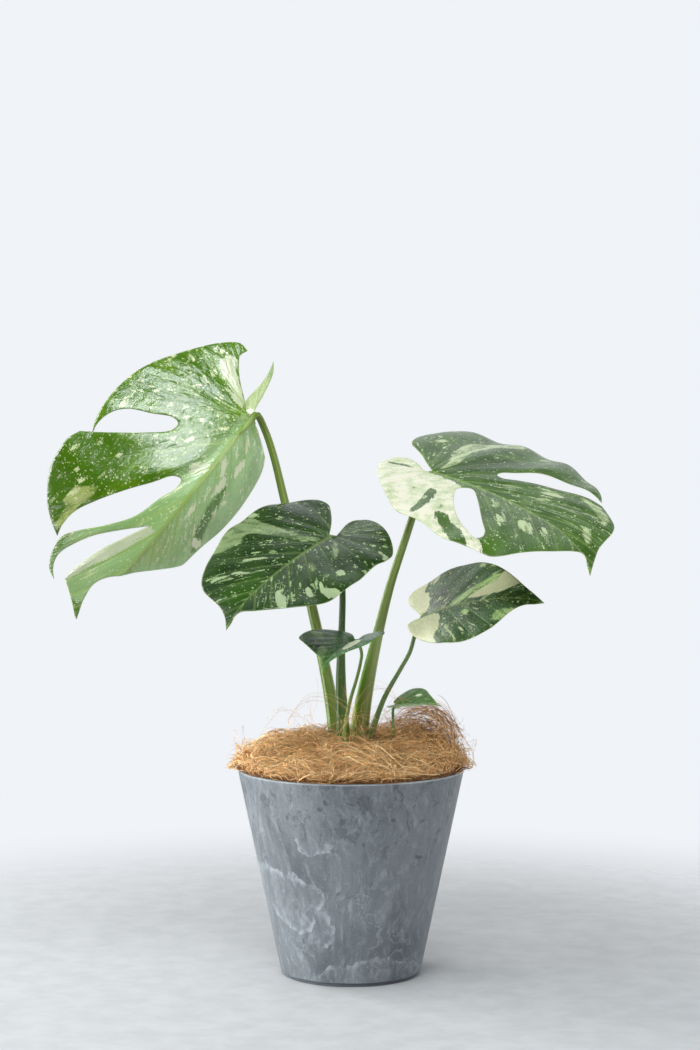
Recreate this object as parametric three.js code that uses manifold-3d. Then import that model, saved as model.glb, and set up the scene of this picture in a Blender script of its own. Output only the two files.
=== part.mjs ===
// A young variegated monstera in a tapered round pot: pot, soil, a mat of coconut fibre,
// the short stem, six leaf stalks and six leaf blades.
// Millimetres and degrees. +Z is up, the origin is the middle of the pot's underside, and the
// plant's front looks along -Y.
import * as THREE from 'three';
import { mergeVertices } from 'three/addons/utils/BufferGeometryUtils.js';
import Module from 'manifold-3d';

const wasm = await Module();
wasm.setup();

// Driving dimensions of the pot and of what fills it
const GAP = 0.3;
const RIM_RADIUS = 110;
const POT_HEIGHT = 200;
const BASE_RADIUS = 67.5;
const WALL = 4;
const FLOOR = 6;
const FOOT_HEIGHT = 4;
const FOOT_INSET = 2.4;
const DRAIN_HOLES = 5;
const DRAIN_HOLE_RADIUS = 4.5;
const DRAIN_CIRCLE_RADIUS = 38;
const SOIL_TOP = 183;
const SOIL_RELIEF = 1.2;
const STEM_BOTTOM = 128;
const STEM_TOP = 196;
const STEM_RADIUS = 17;
const STEM_STRETCH = 1.3;
const MAT_BOTTOM = SOIL_TOP + SOIL_RELIEF + GAP;
const MAT_REACH = 116;

// Driving dimensions of the leaves
const RIB_HALF_WIDTH = 3.5;
const STALK_SEAT = 187;

// A steady sequence of numbers between 0 and 1
function seededRandom(seed) {
  let state = seed;
  return () => {
    state = (state * 1664525 + 1013904223) % 4294967296;
    return state / 4294967296;
  };
}

function smoothStep(from, to, value) {
  const t = Math.min(1, Math.max(0, (value - from) / (to - from)));
  return t * t * (3 - 2 * t);
}

// Closed geometry to solid and back
function toSolid(geometry) {
  const bare = geometry.clone();
  bare.deleteAttribute('normal');
  bare.deleteAttribute('uv');
  const merged = mergeVertices(bare);
  const vertProperties = new Float32Array(merged.attributes.position.array);
  const triVerts = new Uint32Array(merged.index.array);
  return new wasm.Manifold(new wasm.Mesh({ numProp: 3, vertProperties, triVerts }));
}

function toGeometry(solid) {
  const mesh = solid.getMesh();
  return indexedGeometry(Array.from(mesh.vertProperties), Array.from(mesh.triVerts));
}

function indexedGeometry(positions, faces) {
  const geometry = new THREE.BufferGeometry();
  geometry.setAttribute('position', new THREE.Float32BufferAttribute(positions, 3));
  geometry.setIndex(faces);
  geometry.computeVertexNormals();
  return geometry;
}

// The largest of the separate bodies that a cut leaves
function largestBody(solid) {
  const bodies = solid.decompose();
  bodies.sort((a, b) => b.volume() - a.volume());
  return bodies[0];
}

const plant = new THREE.Group();

function addPiece(name, geometry, color, roughness) {
  const material = new THREE.MeshStandardMaterial({ color, roughness, metalness: 0 });
  const mesh = new THREE.Mesh(geometry, material);
  mesh.name = name;
  plant.add(mesh);
  return mesh;
}

// Rings of points joined into a closed skin. Every ring has the same number of points,
// anticlockwise seen from the last ring, and each end is closed to its middle point.
function skinRings(rings) {
  const sides = rings[0].length;
  const positions = [];
  const faces = [];
  for (const ring of rings) {
    for (const point of ring) positions.push(point.x, point.y, point.z);
  }
  for (let i = 0; i + 1 < rings.length; i += 1) {
    for (let j = 0; j < sides; j += 1) {
      const a = i * sides + j;
      const b = i * sides + ((j + 1) % sides);
      faces.push(a, b, b + sides);
      faces.push(a, b + sides, a + sides);
    }
  }
  const lastRing = (rings.length - 1) * sides;
  const bottomMiddle = pushMiddle(positions, rings[0]);
  const topMiddle = pushMiddle(positions, rings[rings.length - 1]);
  for (let j = 0; j < sides; j += 1) {
    const next = (j + 1) % sides;
    faces.push(bottomMiddle, next, j);
    faces.push(topMiddle, lastRing + j, lastRing + next);
  }
  return indexedGeometry(positions, faces);
}

function pushMiddle(positions, ring) {
  const middle = new THREE.Vector3();
  for (const point of ring) middle.add(point);
  middle.divideScalar(ring.length);
  positions.push(middle.x, middle.y, middle.z);
  return positions.length / 3 - 1;
}

// Stations along a smooth curve, each with two directions across it that never spin
function stationsAlong(points, count) {
  const curve = new THREE.CatmullRomCurve3(points, false, 'centripetal');
  const stations = [];
  let across = new THREE.Vector3(1, 0, 0);
  for (let i = 0; i <= count; i += 1) {
    const t = i / count;
    const middle = curve.getPointAt(t);
    const along = curve.getTangentAt(t);
    across = across.clone().addScaledVector(along, -across.dot(along)).normalize();
    const other = new THREE.Vector3().crossVectors(along, across);
    stations.push({ t, middle, across, other });
  }
  return stations;
}

// A tube whose radius is a function of the way along it and of the angle round it
function tube(points, count, sides, radiusAt) {
  const rings = stationsAlong(points, count).map(({ t, middle, across, other }) => {
    const ring = [];
    for (let j = 0; j < sides; j += 1) {
      const angle = (2 * Math.PI * j) / sides;
      const radius = radiusAt(t, angle);
      ring.push(middle.clone()
        .addScaledVector(across, radius * Math.cos(angle))
        .addScaledVector(other, radius * Math.sin(angle)));
    }
    return ring;
  });
  return skinRings(rings);
}

// The pot: straight tapered wall, rounded lip, small recessed foot, drainage holes
function wallRadius(z) {
  return BASE_RADIUS + ((RIM_RADIUS - BASE_RADIUS) * z) / POT_HEIGHT;
}

function innerRadius(z) {
  return wallRadius(z) - WALL;
}

function makePot() {
  const profile = [
    [0, 0],
    [BASE_RADIUS - FOOT_INSET, 0],
    [BASE_RADIUS - FOOT_INSET + 0.4, FOOT_HEIGHT - 1.6],
    [wallRadius(FOOT_HEIGHT), FOOT_HEIGHT],
    [wallRadius(POT_HEIGHT * 0.5), POT_HEIGHT * 0.5],
    [wallRadius(POT_HEIGHT - 2), POT_HEIGHT - 2],
    [RIM_RADIUS - 0.3, POT_HEIGHT - 0.5],
    [RIM_RADIUS - 1.3, POT_HEIGHT],
    [innerRadius(POT_HEIGHT) + 1, POT_HEIGHT],
    [innerRadius(POT_HEIGHT), POT_HEIGHT - 1],
    [innerRadius(FLOOR + 8), FLOOR + 8],
    [innerRadius(FLOOR) - 4, FLOOR],
    [0, FLOOR],
  ].map(([r, z]) => new THREE.Vector2(r, z));
  const shell = new THREE.LatheGeometry(profile, 64);
  shell.rotateX(Math.PI / 2);
  let pot = toSolid(shell);
  for (let i = 0; i < DRAIN_HOLES; i += 1) {
    const angle = (2 * Math.PI * i) / DRAIN_HOLES;
    const drill = new THREE.CylinderGeometry(DRAIN_HOLE_RADIUS, DRAIN_HOLE_RADIUS, 4 * FLOOR, 16);
    drill.rotateX(Math.PI / 2);
    drill.translate(DRAIN_CIRCLE_RADIUS * Math.cos(angle), DRAIN_CIRCLE_RADIUS * Math.sin(angle), 0);
    pot = pot.subtract(toSolid(drill));
  }
  return toGeometry(pot);
}

// The soil: fills the pot up to below the rim, with a crumbly top and a plain hole for the stem
function circleRing(radius, z, sides, stretch = 1) {
  const ring = [];
  for (let j = 0; j < sides; j += 1) {
    const angle = (2 * Math.PI * j) / sides;
    ring.push(new THREE.Vector3(stretch * radius * Math.cos(angle), radius * Math.sin(angle), z));
  }
  return ring;
}

function makeSoil(stemHole) {
  const sides = 36;
  const rings = [
    circleRing(innerRadius(FLOOR) - 5, FLOOR + GAP, sides),
    circleRing(innerRadius(FLOOR + 8) - GAP - 0.5, FLOOR + 9, sides),
    circleRing(innerRadius(SOIL_TOP) - GAP - 0.2, SOIL_TOP - SOIL_RELIEF, sides),
  ];
  for (const share of [0.9, 0.74, 0.56, 0.38, 0.16]) {
    const ring = circleRing(innerRadius(SOIL_TOP) * share, SOIL_TOP, sides);
    for (const point of ring) {
      point.z += SOIL_RELIEF * Math.sin(point.x / 5 + 1.3) * Math.sin(point.y / 6 + point.x / 17);
    }
    rings.push(ring);
  }
  return toGeometry(largestBody(toSolid(skinRings(rings)).subtract(stemHole)));
}

// The stem: a stout crown with leaf scars, standing in the soil, with a seat for each stalk
function stemSolid(clearance) {
  const sides = 20;
  const rings = [];
  const steps = 10;
  for (let i = 0; i <= steps; i += 1) {
    const t = i / steps;
    const z = STEM_BOTTOM + (STEM_TOP - STEM_BOTTOM) * t;
    const bottomRound = Math.sqrt(Math.min(1, 0.3 + t * 4));
    const topRound = Math.sqrt(Math.min(1, 0.45 + (1 - t) * 4));
    const scar = 1 - 0.05 * Math.cos(t * 5 * Math.PI) ** 4;
    const radius = STEM_RADIUS * bottomRound * topRound * scar + clearance;
    rings.push(circleRing(radius, z + clearance * (2 * t - 1), sides, STEM_STRETCH));
  }
  return toSolid(skinRings(rings));
}

// Leaf blades. A blade is drawn flat: x runs along the midrib from the stalk, y to the leaf's left.
// Each run of an outline is smooth, and runs meet in corners. The flat blade is then bent:
// the midrib droops, each half is folded at the midrib and curls, and the margin waves.
// Droop and curl are in degrees for each 100 mm.
const LEAVES = [
  {
    name: 'left',
    base: [-98, 15, 539],
    heading: 230,
    pitch: -42,
    roll: -53,
    length: 290,
    droop: 28,
    tipDroop: 40,
    backDroop: 3,
    sweep: -3,
    foldLeft: -46,
    foldRight: -6,
    curlLeft: -24,
    curlRight: -19,
    lobeTwist: -70,
    wave: 2,
    waveLength: 74,
    thickness: 1,
    keel: 2,
    grid: 16,
    runs: [
      [[0, -3], [-17, -17], [-33, -31], [-50, -42], [-60, -46], [-69, -43]],
      [[-69, -43], [-73, -54], [-64, -69], [-43, -90], [-18, -109], [8, -123], [40, -130], [73, -129],
        [92, -125], [108, -118]],
      [[108, -118], [92, -121], [74, -117], [60, -105], [51, -82], [43, -62], [46, -54], [56, -55],
        [73, -74], [92, -101], [113, -131]],
      [[113, -131], [128, -136], [150, -134], [175, -127], [198, -110], [213, -91], [222, -73]],
      [[222, -73], [208, -77], [187, -77], [160, -67], [133, -52], [110, -36], [94, -25], [92, -17],
        [101, -15], [119, -21], [147, -28], [174, -44], [199, -61], [217, -69], [236, -67], [252, -62],
        [265, -54], [270, -44]],
      [[270, -44], [262, -51], [249, -57], [236, -59], [221, -57], [193, -47], [166, -28], [148, -12]],
      [[148, -12], [168, -21], [199, -32], [236, -38], [256, -37]],
      [[256, -37], [264, -27], [278, -13], [300, 3]],
      [[300, 3], [280, -3], [260, -9], [232, -13], [213, -6], [200, 9], [191, 33], [184, 56]],
      [[184, 56], [178, 67], [161, 69], [141, 72], [112, 79], [76, 81], [40, 77], [12, 70], [-1, 60],
        [-5, 45], [-4, 20], [-3, 9]],
      [[-3, 9], [-8, 16], [-15, 24], [-25, 29], [-38, 29], [-54, 26], [-70, 26], [-93, 32]],
      [[-93, 32], [-72, 19], [-45, 10], [-20, 5], [-3, 2]],
    ],
    holes: [],
    stalk: {
      path: [[-12, 7, STALK_SEAT], [-15, 7, 212], [-19, 10, 259], [-31, 17, 323], [-47, 25, 391],
        [-64, 30, 455], [-76, 29, 504], [-84, 27, 528]],
      radii: [6, 6, 5.2, 4.6, 3.7, 3.3],
      over: true,
      sheath: { angle: 20, height: 2.4, to: 0.3 },
      sides: 12,
    },
    color: 0x6f9c4e,
  },
  {
    name: 'right',
    base: [77, 10, 488],
    heading: -40,
    pitch: -12,
    roll: 10,
    length: 235,
    droop: 4,
    tipDroop: 40,
    backDroop: 1,
    sweep: -9,
    foldLeft: 11,
    foldRight: 0,
    curlLeft: -15,
    curlRight: -12,
    lobeTwist: 0,
    wave: 2,
    waveLength: 66,
    thickness: 1,
    keel: 1.8,
    grid: 16,
    runs: [
      [[0, 3], [-16, 14], [-33, 27], [-49, 37], [-60, 44], [-69, 57], [-73, 73], [-73, 92], [-72, 107],
        [-67, 121], [-57, 129], [-40, 131], [-20, 131], [0, 129], [22, 128], [42, 126], [63, 122],
        [86, 118], [106, 112], [126, 103], [144, 93], [158, 84], [166, 76]],
      [[166, 76], [148, 80], [128, 83], [107, 79], [84, 69], [67, 52], [57, 43], [57, 35], [66, 32],
        [82, 39], [107, 52], [133, 62], [158, 69], [171, 71]],
      [[171, 71], [180, 68], [192, 63], [201, 58], [207, 49], [211, 36], [216, 22], [225, 9], [237, -5]],
      [[237, -5], [227, -2], [218, 2], [211, 1], [206, -8], [198, -30], [189, -50], [180, -70],
        [174, -82], [166, -90], [157, -93], [148, -96], [137, -101], [120, -104], [100, -101],
        [82, -98], [67, -99], [49, -97], [31, -90], [13, -79], [-5, -66], [-26, -46], [-43, -28],
        [-53, -11], [-54, 2], [-49, 10], [-40, 13], [-31, 11], [-19, 6], [-8, -1], [-1, -3]],
    ],
    holes: [
      [[52, -12], [58, -7], [66, -10], [77, -19], [93, -33], [111, -49], [123, -59], [133, -67],
        [139, -76], [137, -83], [131, -84], [118, -78], [100, -69], [82, -57], [65, -40], [54, -26],
        [50, -18]],
    ],
    stalk: {
      path: [[9, 6, STALK_SEAT], [10, 6, 212], [12, 5, 250], [21, 3, 305], [37, 0, 374], [55, -1, 430],
        [66, 3, 464]],
      radii: [6.8, 6.6, 5.3, 4.1, 3.6, 3.3],
      sheath: { angle: 200, height: 6, to: 0.5 },
      sides: 12,
    },
    color: 0x56803f,
  },
  {
    name: 'centre',
    base: [-18, -60, 429],
    heading: 230,
    pitch: -18,
    roll: -12,
    length: 183,
    droop: 4,
    tipDroop: 30,
    backDroop: 3,
    sweep: 7,
    foldLeft: 3,
    foldRight: 12,
    curlLeft: -15,
    curlRight: -16,
    lobeTwist: 0,
    wave: 1.5,
    waveLength: 58,
    thickness: 0.9,
    keel: 1.5,
    grid: 15,
    runs: [
      [[0, -3], [-17, -14], [-34, -28], [-46, -41], [-47, -54], [-38, -67], [-25, -76], [-6, -84],
        [16, -87], [40, -84], [66, -80], [86, -74], [108, -65], [124, -60], [137, -55], [148, -48],
        [155, -39], [159, -28], [163, -17], [171, -7], [183, 1]],
      [[183, 1], [174, 2], [165, 1], [158, 4], [152, 16], [143, 31], [133, 46], [121, 59], [106, 68],
        [84, 73], [61, 74], [40, 71], [25, 71], [15, 74], [2, 72], [-11, 64], [-25, 51], [-38, 35],
        [-47, 18], [-48, 4], [-40, -3], [-30, -4], [-17, -1], [-2, 4]],
    ],
    holes: [],
    stalk: {
      path: [[-6, -6, STALK_SEAT], [-8, -7, 212], [-9, -9, 240], [-10, -15, 285], [-9, -25, 330],
        [-8, -37, 375], [-10, -46, 405]],
      radii: [4.8, 5.2, 4.6, 3.2, 2.8, 2.5],
      sheath: { angle: 15, height: 3.4, to: 0.5 },
      sides: 12,
    },
    color: 0x3f6b2c,
  },
  {
    name: 'lower_right',
    base: [67, -10, 348],
    heading: -47,
    pitch: 20,
    roll: 50,
    length: 148,
    droop: 15,
    tipDroop: 48,
    backDroop: 0,
    sweep: -5,
    foldLeft: 2,
    foldRight: 5,
    curlLeft: -15,
    curlRight: -13,
    lobeTwist: 0,
    wave: 1,
    waveLength: 52,
    thickness: 0.8,
    keel: 1.1,
    grid: 13,
    runs: [
      [[0, 2], [-15, 15], [-29, 29], [-32, 39], [-26, 45], [-14, 48], [-3, 50], [11, 53], [28, 56],
        [46, 55], [65, 51], [82, 45], [97, 36], [112, 25], [125, 15], [137, 7], [149, -1]],
      [[149, -1], [140, -5], [132, -7], [124, -12], [117, -20], [112, -28], [106, -36], [98, -42],
        [87, -47], [72, -50], [55, -49], [38, -45], [22, -38], [4, -27], [-9, -14], [-16, -4],
        [-10, -1], [0, -2]],
    ],
    holes: [],
    stalk: {
      path: [[15, -3, STALK_SEAT], [17, -4, 210], [21, -5, 236], [32, -4, 268], [47, -3, 295],
        [57, -2, 313], [62, -3, 330]],
      radii: [2.9, 3, 2.6, 2.1, 2, 1.9],
      sheath: { angle: 170, height: 2, to: 0.4 },
      sides: 10,
    },
    color: 0x4d7338,
  },
  {
    name: 'front',
    base: [5, -75, 332],
    heading: 240,
    pitch: -7,
    roll: 8,
    length: 84,
    droop: 26,
    tipDroop: 54,
    backDroop: 0,
    sweep: 4,
    foldLeft: 5,
    foldRight: 20,
    curlLeft: -12,
    curlRight: -11,
    lobeTwist: 0,
    wave: 0.6,
    waveLength: 40,
    thickness: 0.8,
    keel: 0.8,
    grid: 10,
    runs: [
      [[0, -1.5], [-12, -12], [-14, -23], [-10, -33], [-2, -42], [8, -48], [18, -49], [28, -46],
        [36, -37], [45, -25], [54, -13], [63, -5], [74, 1], [86, 5]],
      [[86, 5], [77, 5], [66, 4], [58, 6], [51, 11], [44, 17], [38, 24], [28, 29], [12, 30], [-5, 27],
        [-20, 20], [-31, 10], [-33, 1], [-18, -2], [-1, 1.5]],
    ],
    holes: [],
    stalk: {
      path: [[-1, -14, STALK_SEAT], [-4, -17, 210], [-6, -20, 236], [-1, -29, 268], [5, -42, 290],
        [9, -56, 308], [10, -66, 319]],
      radii: [2.2, 2.2, 1.9, 1.6, 1.5, 1.4],
      sheath: { angle: 200, height: 0.7, to: 0.35 },
      sides: 8,
    },
    color: 0x4b6b45,
  },
  {
    name: 'small',
    base: [42, -20, 264],
    heading: -38,
    pitch: 10,
    roll: 31,
    length: 55,
    droop: 23,
    tipDroop: 62,
    backDroop: 0,
    sweep: -1,
    foldLeft: 1,
    foldRight: 24,
    curlLeft: -15,
    curlRight: -5,
    lobeTwist: 0,
    wave: 0.3,
    waveLength: 30,
    thickness: 0.7,
    keel: 0.5,
    grid: 8,
    runs: [
      [[0, 1.5], [-4, 5], [-4, 11], [-1, 18], [5, 24], [15, 26], [24, 23], [33, 15], [42, 7], [50, 0],
        [58, -6]],
      [[58, -6], [50, -5], [42, -5], [33, -9], [23, -13], [12, -15], [3, -13], [-4, -8], [-4, -3],
        [0, -1.5]],
    ],
    holes: [],
    stalk: {
      path: [[16, -10, STALK_SEAT], [24, -14, 203], [34, -18, 216], [40, -20, 233], [40.5, -20, 250]],
      radii: [1.6, 1.7, 1.5, 1.4, 1.3],
      sheath: { angle: 180, height: 0, to: 0.1 },
      sides: 8,
    },
    color: 0x466f3a,
  },
];

// An outline's runs as one closed list of flat points
function smoothRun(run, step, closed = false) {
  const curve = new THREE.CatmullRomCurve3(
    run.map(([x, y]) => new THREE.Vector3(x, y, 0)), closed, 'centripetal');
  const count = closed ? run.length : run.length - 1;
  const points = [];
  for (let i = 0; i < count; i += 1) {
    const from = run[i];
    const to = run[(i + 1) % run.length];
    const pieces = Math.max(1, Math.round(Math.hypot(to[0] - from[0], to[1] - from[1]) / step));
    for (let k = 0; k < pieces; k += 1) {
      const point = curve.getPoint((i + k / pieces) / count);
      points.push(new THREE.Vector2(point.x, point.y));
    }
  }
  return points;
}

function outlineOf(leaf) {
  const points = [];
  for (const run of leaf.runs) {
    points.push(...smoothRun(run, leaf.grid * 0.75));
    const last = run[run.length - 1];
    const next = leaf.runs[(leaf.runs.indexOf(run) + 1) % leaf.runs.length][0];
    if (last[0] !== next[0] || last[1] !== next[1]) points.push(new THREE.Vector2(...last));
  }
  return points;
}

function insidePolygon(point, polygon) {
  let inside = false;
  for (let i = 0, j = polygon.length - 1; i < polygon.length; j = i, i += 1) {
    const a = polygon[i];
    const b = polygon[j];
    if ((a.y > point.y) !== (b.y > point.y)) {
      const x = a.x + ((b.x - a.x) * (point.y - a.y)) / (b.y - a.y);
      if (point.x < x) inside = !inside;
    }
  }
  return inside;
}

function distanceToPolygon(point, polygon) {
  let nearest = Infinity;
  const edge = new THREE.Vector2();
  const offset = new THREE.Vector2();
  for (let i = 0, j = polygon.length - 1; i < polygon.length; j = i, i += 1) {
    edge.subVectors(polygon[i], polygon[j]);
    offset.subVectors(point, polygon[j]);
    const t = Math.min(1, Math.max(0, offset.dot(edge) / edge.lengthSq()));
    nearest = Math.min(nearest, offset.addScaledVector(edge, -t).length());
  }
  return nearest;
}

// Points inside the outline: rows along the midrib, then a staggered grid clear of the margin
function innerPoints(leaf, outline, holes) {
  const loops = [outline, ...holes];
  const inner = [];
  const clearOf = (point, distance) => {
    if (!insidePolygon(point, outline)) return false;
    if (holes.some((hole) => insidePolygon(point, hole))) return false;
    if (loops.some((loop) => distanceToPolygon(point, loop) < distance)) return false;
    return inner.every((other) => other.distanceTo(point) > distance);
  };
  for (let x = 3; x < leaf.length * 0.9; x += leaf.grid) {
    for (const y of [0, -RIB_HALF_WIDTH, RIB_HALF_WIDTH]) {
      const point = new THREE.Vector2(x, y);
      if (clearOf(point, RIB_HALF_WIDTH * 0.7)) inner.push(point);
    }
  }
  const rowHeight = leaf.grid * 0.866;
  for (let row = -12; row <= 12; row += 1) {
    const shift = row % 2 === 0 ? 0 : leaf.grid / 2;
    for (let x = -leaf.grid * 6 + shift; x < leaf.length * 1.05; x += leaf.grid) {
      const point = new THREE.Vector2(x, row * rowHeight);
      if (clearOf(point, leaf.grid * 0.5)) inner.push(point);
    }
  }
  return inner;
}

function doubleArea(a, b, c) {
  return (b.x - a.x) * (c.y - a.y) - (b.y - a.y) * (c.x - a.x);
}

// True where d lies inside the circle through a, b and c, which run anticlockwise
function insideCircle(a, b, c, d) {
  const rows = [a, b, c].map((p) => [p.x - d.x, p.y - d.y, (p.x - d.x) ** 2 + (p.y - d.y) ** 2]);
  const [p, q, r] = rows;
  return p[0] * (q[1] * r[2] - q[2] * r[1])
    - p[1] * (q[0] * r[2] - q[2] * r[0])
    + p[2] * (q[0] * r[1] - q[1] * r[0]) > 1e-6;
}

// Triangles over the flat blade: the outline is filled first, the inner points are put in one
// by one, and edges are then turned until the triangles are as even as they can be
function flatTriangles(outline, holes, inner) {
  const points = [outline, ...holes].flat();
  let faces = THREE.ShapeUtils.triangulateShape(outline, holes);
  faces = faces.map(([a, b, c]) => (
    doubleArea(points[a], points[b], points[c]) > 0 ? [a, b, c] : [a, c, b]));
  for (const point of inner) {
    const home = faces.findIndex(([a, b, c]) => (
      doubleArea(points[a], points[b], point) > 1e-6
      && doubleArea(points[b], points[c], point) > 1e-6
      && doubleArea(points[c], points[a], point) > 1e-6));
    if (home < 0) continue;
    const [a, b, c] = faces[home];
    const p = points.push(point) - 1;
    faces.splice(home, 1, [a, b, p], [b, c, p], [c, a, p]);
    turnEdges(points, faces);
  }
  turnEdges(points, faces);
  return { points, faces };
}

function turnEdges(points, faces) {
  for (let pass = 0; pass < 40; pass += 1) {
    const owner = new Map();
    faces.forEach((face, index) => {
      for (let k = 0; k < 3; k += 1) owner.set(`${face[k]},${face[(k + 1) % 3]}`, index);
    });
    const touched = new Set();
    let turned = 0;
    for (let index = 0; index < faces.length; index += 1) {
      for (let k = 0; k < 3 && !touched.has(index); k += 1) {
        const [a, b, c] = [faces[index][k], faces[index][(k + 1) % 3], faces[index][(k + 2) % 3]];
        const other = owner.get(`${b},${a}`);
        if (other === undefined || touched.has(other)) continue;
        const d = faces[other].find((v) => v !== a && v !== b);
        const convex = doubleArea(points[c], points[a], points[d]) > 1e-6
          && doubleArea(points[d], points[b], points[c]) > 1e-6;
        if (!convex || !insideCircle(points[a], points[b], points[c], points[d])) continue;
        faces[index] = [c, a, d];
        faces[other] = [d, b, c];
        touched.add(index);
        touched.add(other);
        turned += 1;
      }
    }
    if (turned === 0) return;
  }
}

// The end of an arc that starts straight ahead and turns up: how far along, how far up, the turn
function arcEnd(length, turnPerLength) {
  const turn = length * turnPerLength;
  if (Math.abs(turn) < 1e-6) return [length, 0, turn];
  return [Math.sin(turn) / turnPerLength, (1 - Math.cos(turn)) / turnPerLength, turn];
}

const PER_100_MM = THREE.MathUtils.degToRad(1) / 100;

function leafFrame(leaf) {
  const heading = THREE.MathUtils.degToRad(leaf.heading);
  const pitch = THREE.MathUtils.degToRad(leaf.pitch);
  const along = new THREE.Vector3(
    Math.cos(pitch) * Math.cos(heading), Math.cos(pitch) * Math.sin(heading), Math.sin(pitch));
  const side = new THREE.Vector3(-Math.sin(heading), Math.cos(heading), 0);
  side.applyAxisAngle(along, THREE.MathUtils.degToRad(leaf.roll));
  const up = new THREE.Vector3().crossVectors(along, side);
  return new THREE.Matrix4().makeBasis(along, side, up).setPosition(...leaf.base);
}

// Where a point of the flat blade lies on the bent one
function bentPoint(leaf, x, y) {
  const bodyEnd = 0.7 * leaf.length;
  let [along, up, turn] = arcEnd(Math.min(Math.max(x, 0), bodyEnd), -leaf.droop * PER_100_MM);
  const [tipAlong, tipUp, tipTurn] = arcEnd(Math.max(x - bodyEnd, 0), -leaf.tipDroop * PER_100_MM);
  [along, up] = [
    along + tipAlong * Math.cos(turn) - tipUp * Math.sin(turn),
    up + tipAlong * Math.sin(turn) + tipUp * Math.cos(turn)];
  turn += tipTurn;
  if (x < 0) {
    const [backAlong, backUp, backTurn] = arcEnd(-x, -leaf.backDroop * PER_100_MM);
    [along, up, turn] = [-backAlong, backUp, -backTurn];
  }
  const left = y > 0;
  const twist = left ? leaf.lobeTwist * smoothStep(3, 16, -x) : 0;
  const fold = THREE.MathUtils.degToRad((left ? leaf.foldLeft : leaf.foldRight) + twist);
  const curl = (left ? leaf.curlLeft : leaf.curlRight) * PER_100_MM;
  const [out, lift] = arcEnd(Math.abs(y), curl);
  const reach = Math.min(1, Math.abs(y) / (0.4 * leaf.length));
  const wave = leaf.wave * reach * reach
    * Math.sin((2 * Math.PI * x) / leaf.waveLength + (left ? 0 : 1.7));
  const rise = out * Math.sin(fold) + lift * Math.cos(fold) + wave;
  const sweep = 0.5 * leaf.sweep * PER_100_MM * Math.max(x, 0) ** 2;
  const across = (left ? 1 : -1) * (out * Math.cos(fold) - lift * Math.sin(fold)) + sweep;
  return new THREE.Vector3(along - rise * Math.sin(turn), across, up + rise * Math.cos(turn))
    .applyMatrix4(leafFrame(leaf));
}

function bentNormal(leaf, x, y) {
  const step = 0.5;
  const dx = bentPoint(leaf, x + step, y).sub(bentPoint(leaf, x - step, y));
  const side = Math.abs(y) < 1 ? 1 : step;
  const dy = bentPoint(leaf, x, y + side).sub(bentPoint(leaf, x, y - side));
  return dx.cross(dy).normalize();
}

function makeBlade(leaf) {
  const outline = outlineOf(leaf);
  const holes = leaf.holes.map((hole) => smoothRun(hole, leaf.grid * 0.75, true));
  if (THREE.ShapeUtils.isClockWise(outline)) outline.reverse();
  for (const hole of holes) {
    if (!THREE.ShapeUtils.isClockWise(hole)) hole.reverse();
  }
  const { points, faces } = flatTriangles(outline, holes, innerPoints(leaf, outline, holes));
  const positions = [];
  const push = (x, y, side) => {
    const onRib = Math.abs(y) < 1 ? smoothStep(6, 16, x) * (1 - x / leaf.length) : 0;
    const keel = side < 0 ? leaf.keel * onRib : 0;
    const spot = bentPoint(leaf, x, y)
      .addScaledVector(bentNormal(leaf, x, y), side * (leaf.thickness / 2 + keel));
    positions.push(spot.x, spot.y, spot.z);
  };
  for (const point of points) push(point.x, point.y, 1);
  for (const point of points) push(point.x, point.y, -1);
  const under = points.length;
  const index = [];
  for (const [a, b, c] of faces) {
    index.push(a, b, c);
    index.push(under + a, under + c, under + b);
  }
  let first = 0;
  for (const loop of [outline, ...holes]) {
    for (let i = 0; i < loop.length; i += 1) {
      const a = first + i;
      const b = first + ((i + 1) % loop.length);
      index.push(a, under + a, b);
      index.push(b, under + a, under + b);
    }
    first += loop.length;
  }
  return indexedGeometry(positions, index);
}

// Leaf stalks. The stalk ends along the start of the midrib, under the fold of the blade, or
// over it where the leaf hangs from its stalk. Its lower part has the wing of the leaf sheath.
function stalkPoints(leaf) {
  const { path, radii, over } = leaf.stalk;
  const points = path.map((point) => new THREE.Vector3(...point));
  const frame = leafFrame(leaf);
  const topRadius = radii[radii.length - 1];
  const roofFold = over ? 0 : Math.min(0, leaf.foldLeft) + Math.min(0, leaf.foldRight);
  const clear = topRadius + leaf.thickness / 2 + GAP;
  const depth = clear / Math.cos(THREE.MathUtils.degToRad(roofFold) / 2) + 0.1;
  const lean = THREE.MathUtils.degToRad(leaf.foldLeft - leaf.foldRight) / 2;
  const side = over ? 1 : -1;
  const beside = (x, away) => (
    new THREE.Vector3(x, -side * away * Math.sin(lean), side * away * Math.cos(lean))
      .applyMatrix4(frame));
  points.push(beside(-1.6 * topRadius, depth + 0.35 * topRadius), beside(5, depth + 0.2));
  return points;
}

function makeStalk(leaf, clearance = 0) {
  const { radii, sheath, sides } = leaf.stalk;
  const points = stalkPoints(leaf);
  const sheathAngle = THREE.MathUtils.degToRad(sheath.angle);
  const radiusAt = (t, angle) => {
    const place = t * (radii.length - 1);
    const step = Math.min(radii.length - 2, Math.floor(place));
    const plain = radii[step] + (radii[step + 1] - radii[step]) * (place - step);
    const turn = Math.cos(angle - sheathAngle);
    const wing = Math.max(0, turn) ** 10 * sheath.height;
    const along = 1 - smoothStep(0.06, sheath.to, t);
    return plain + wing * along + clearance;
  };
  return tube(points, 17, sides, radiusAt);
}

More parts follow.
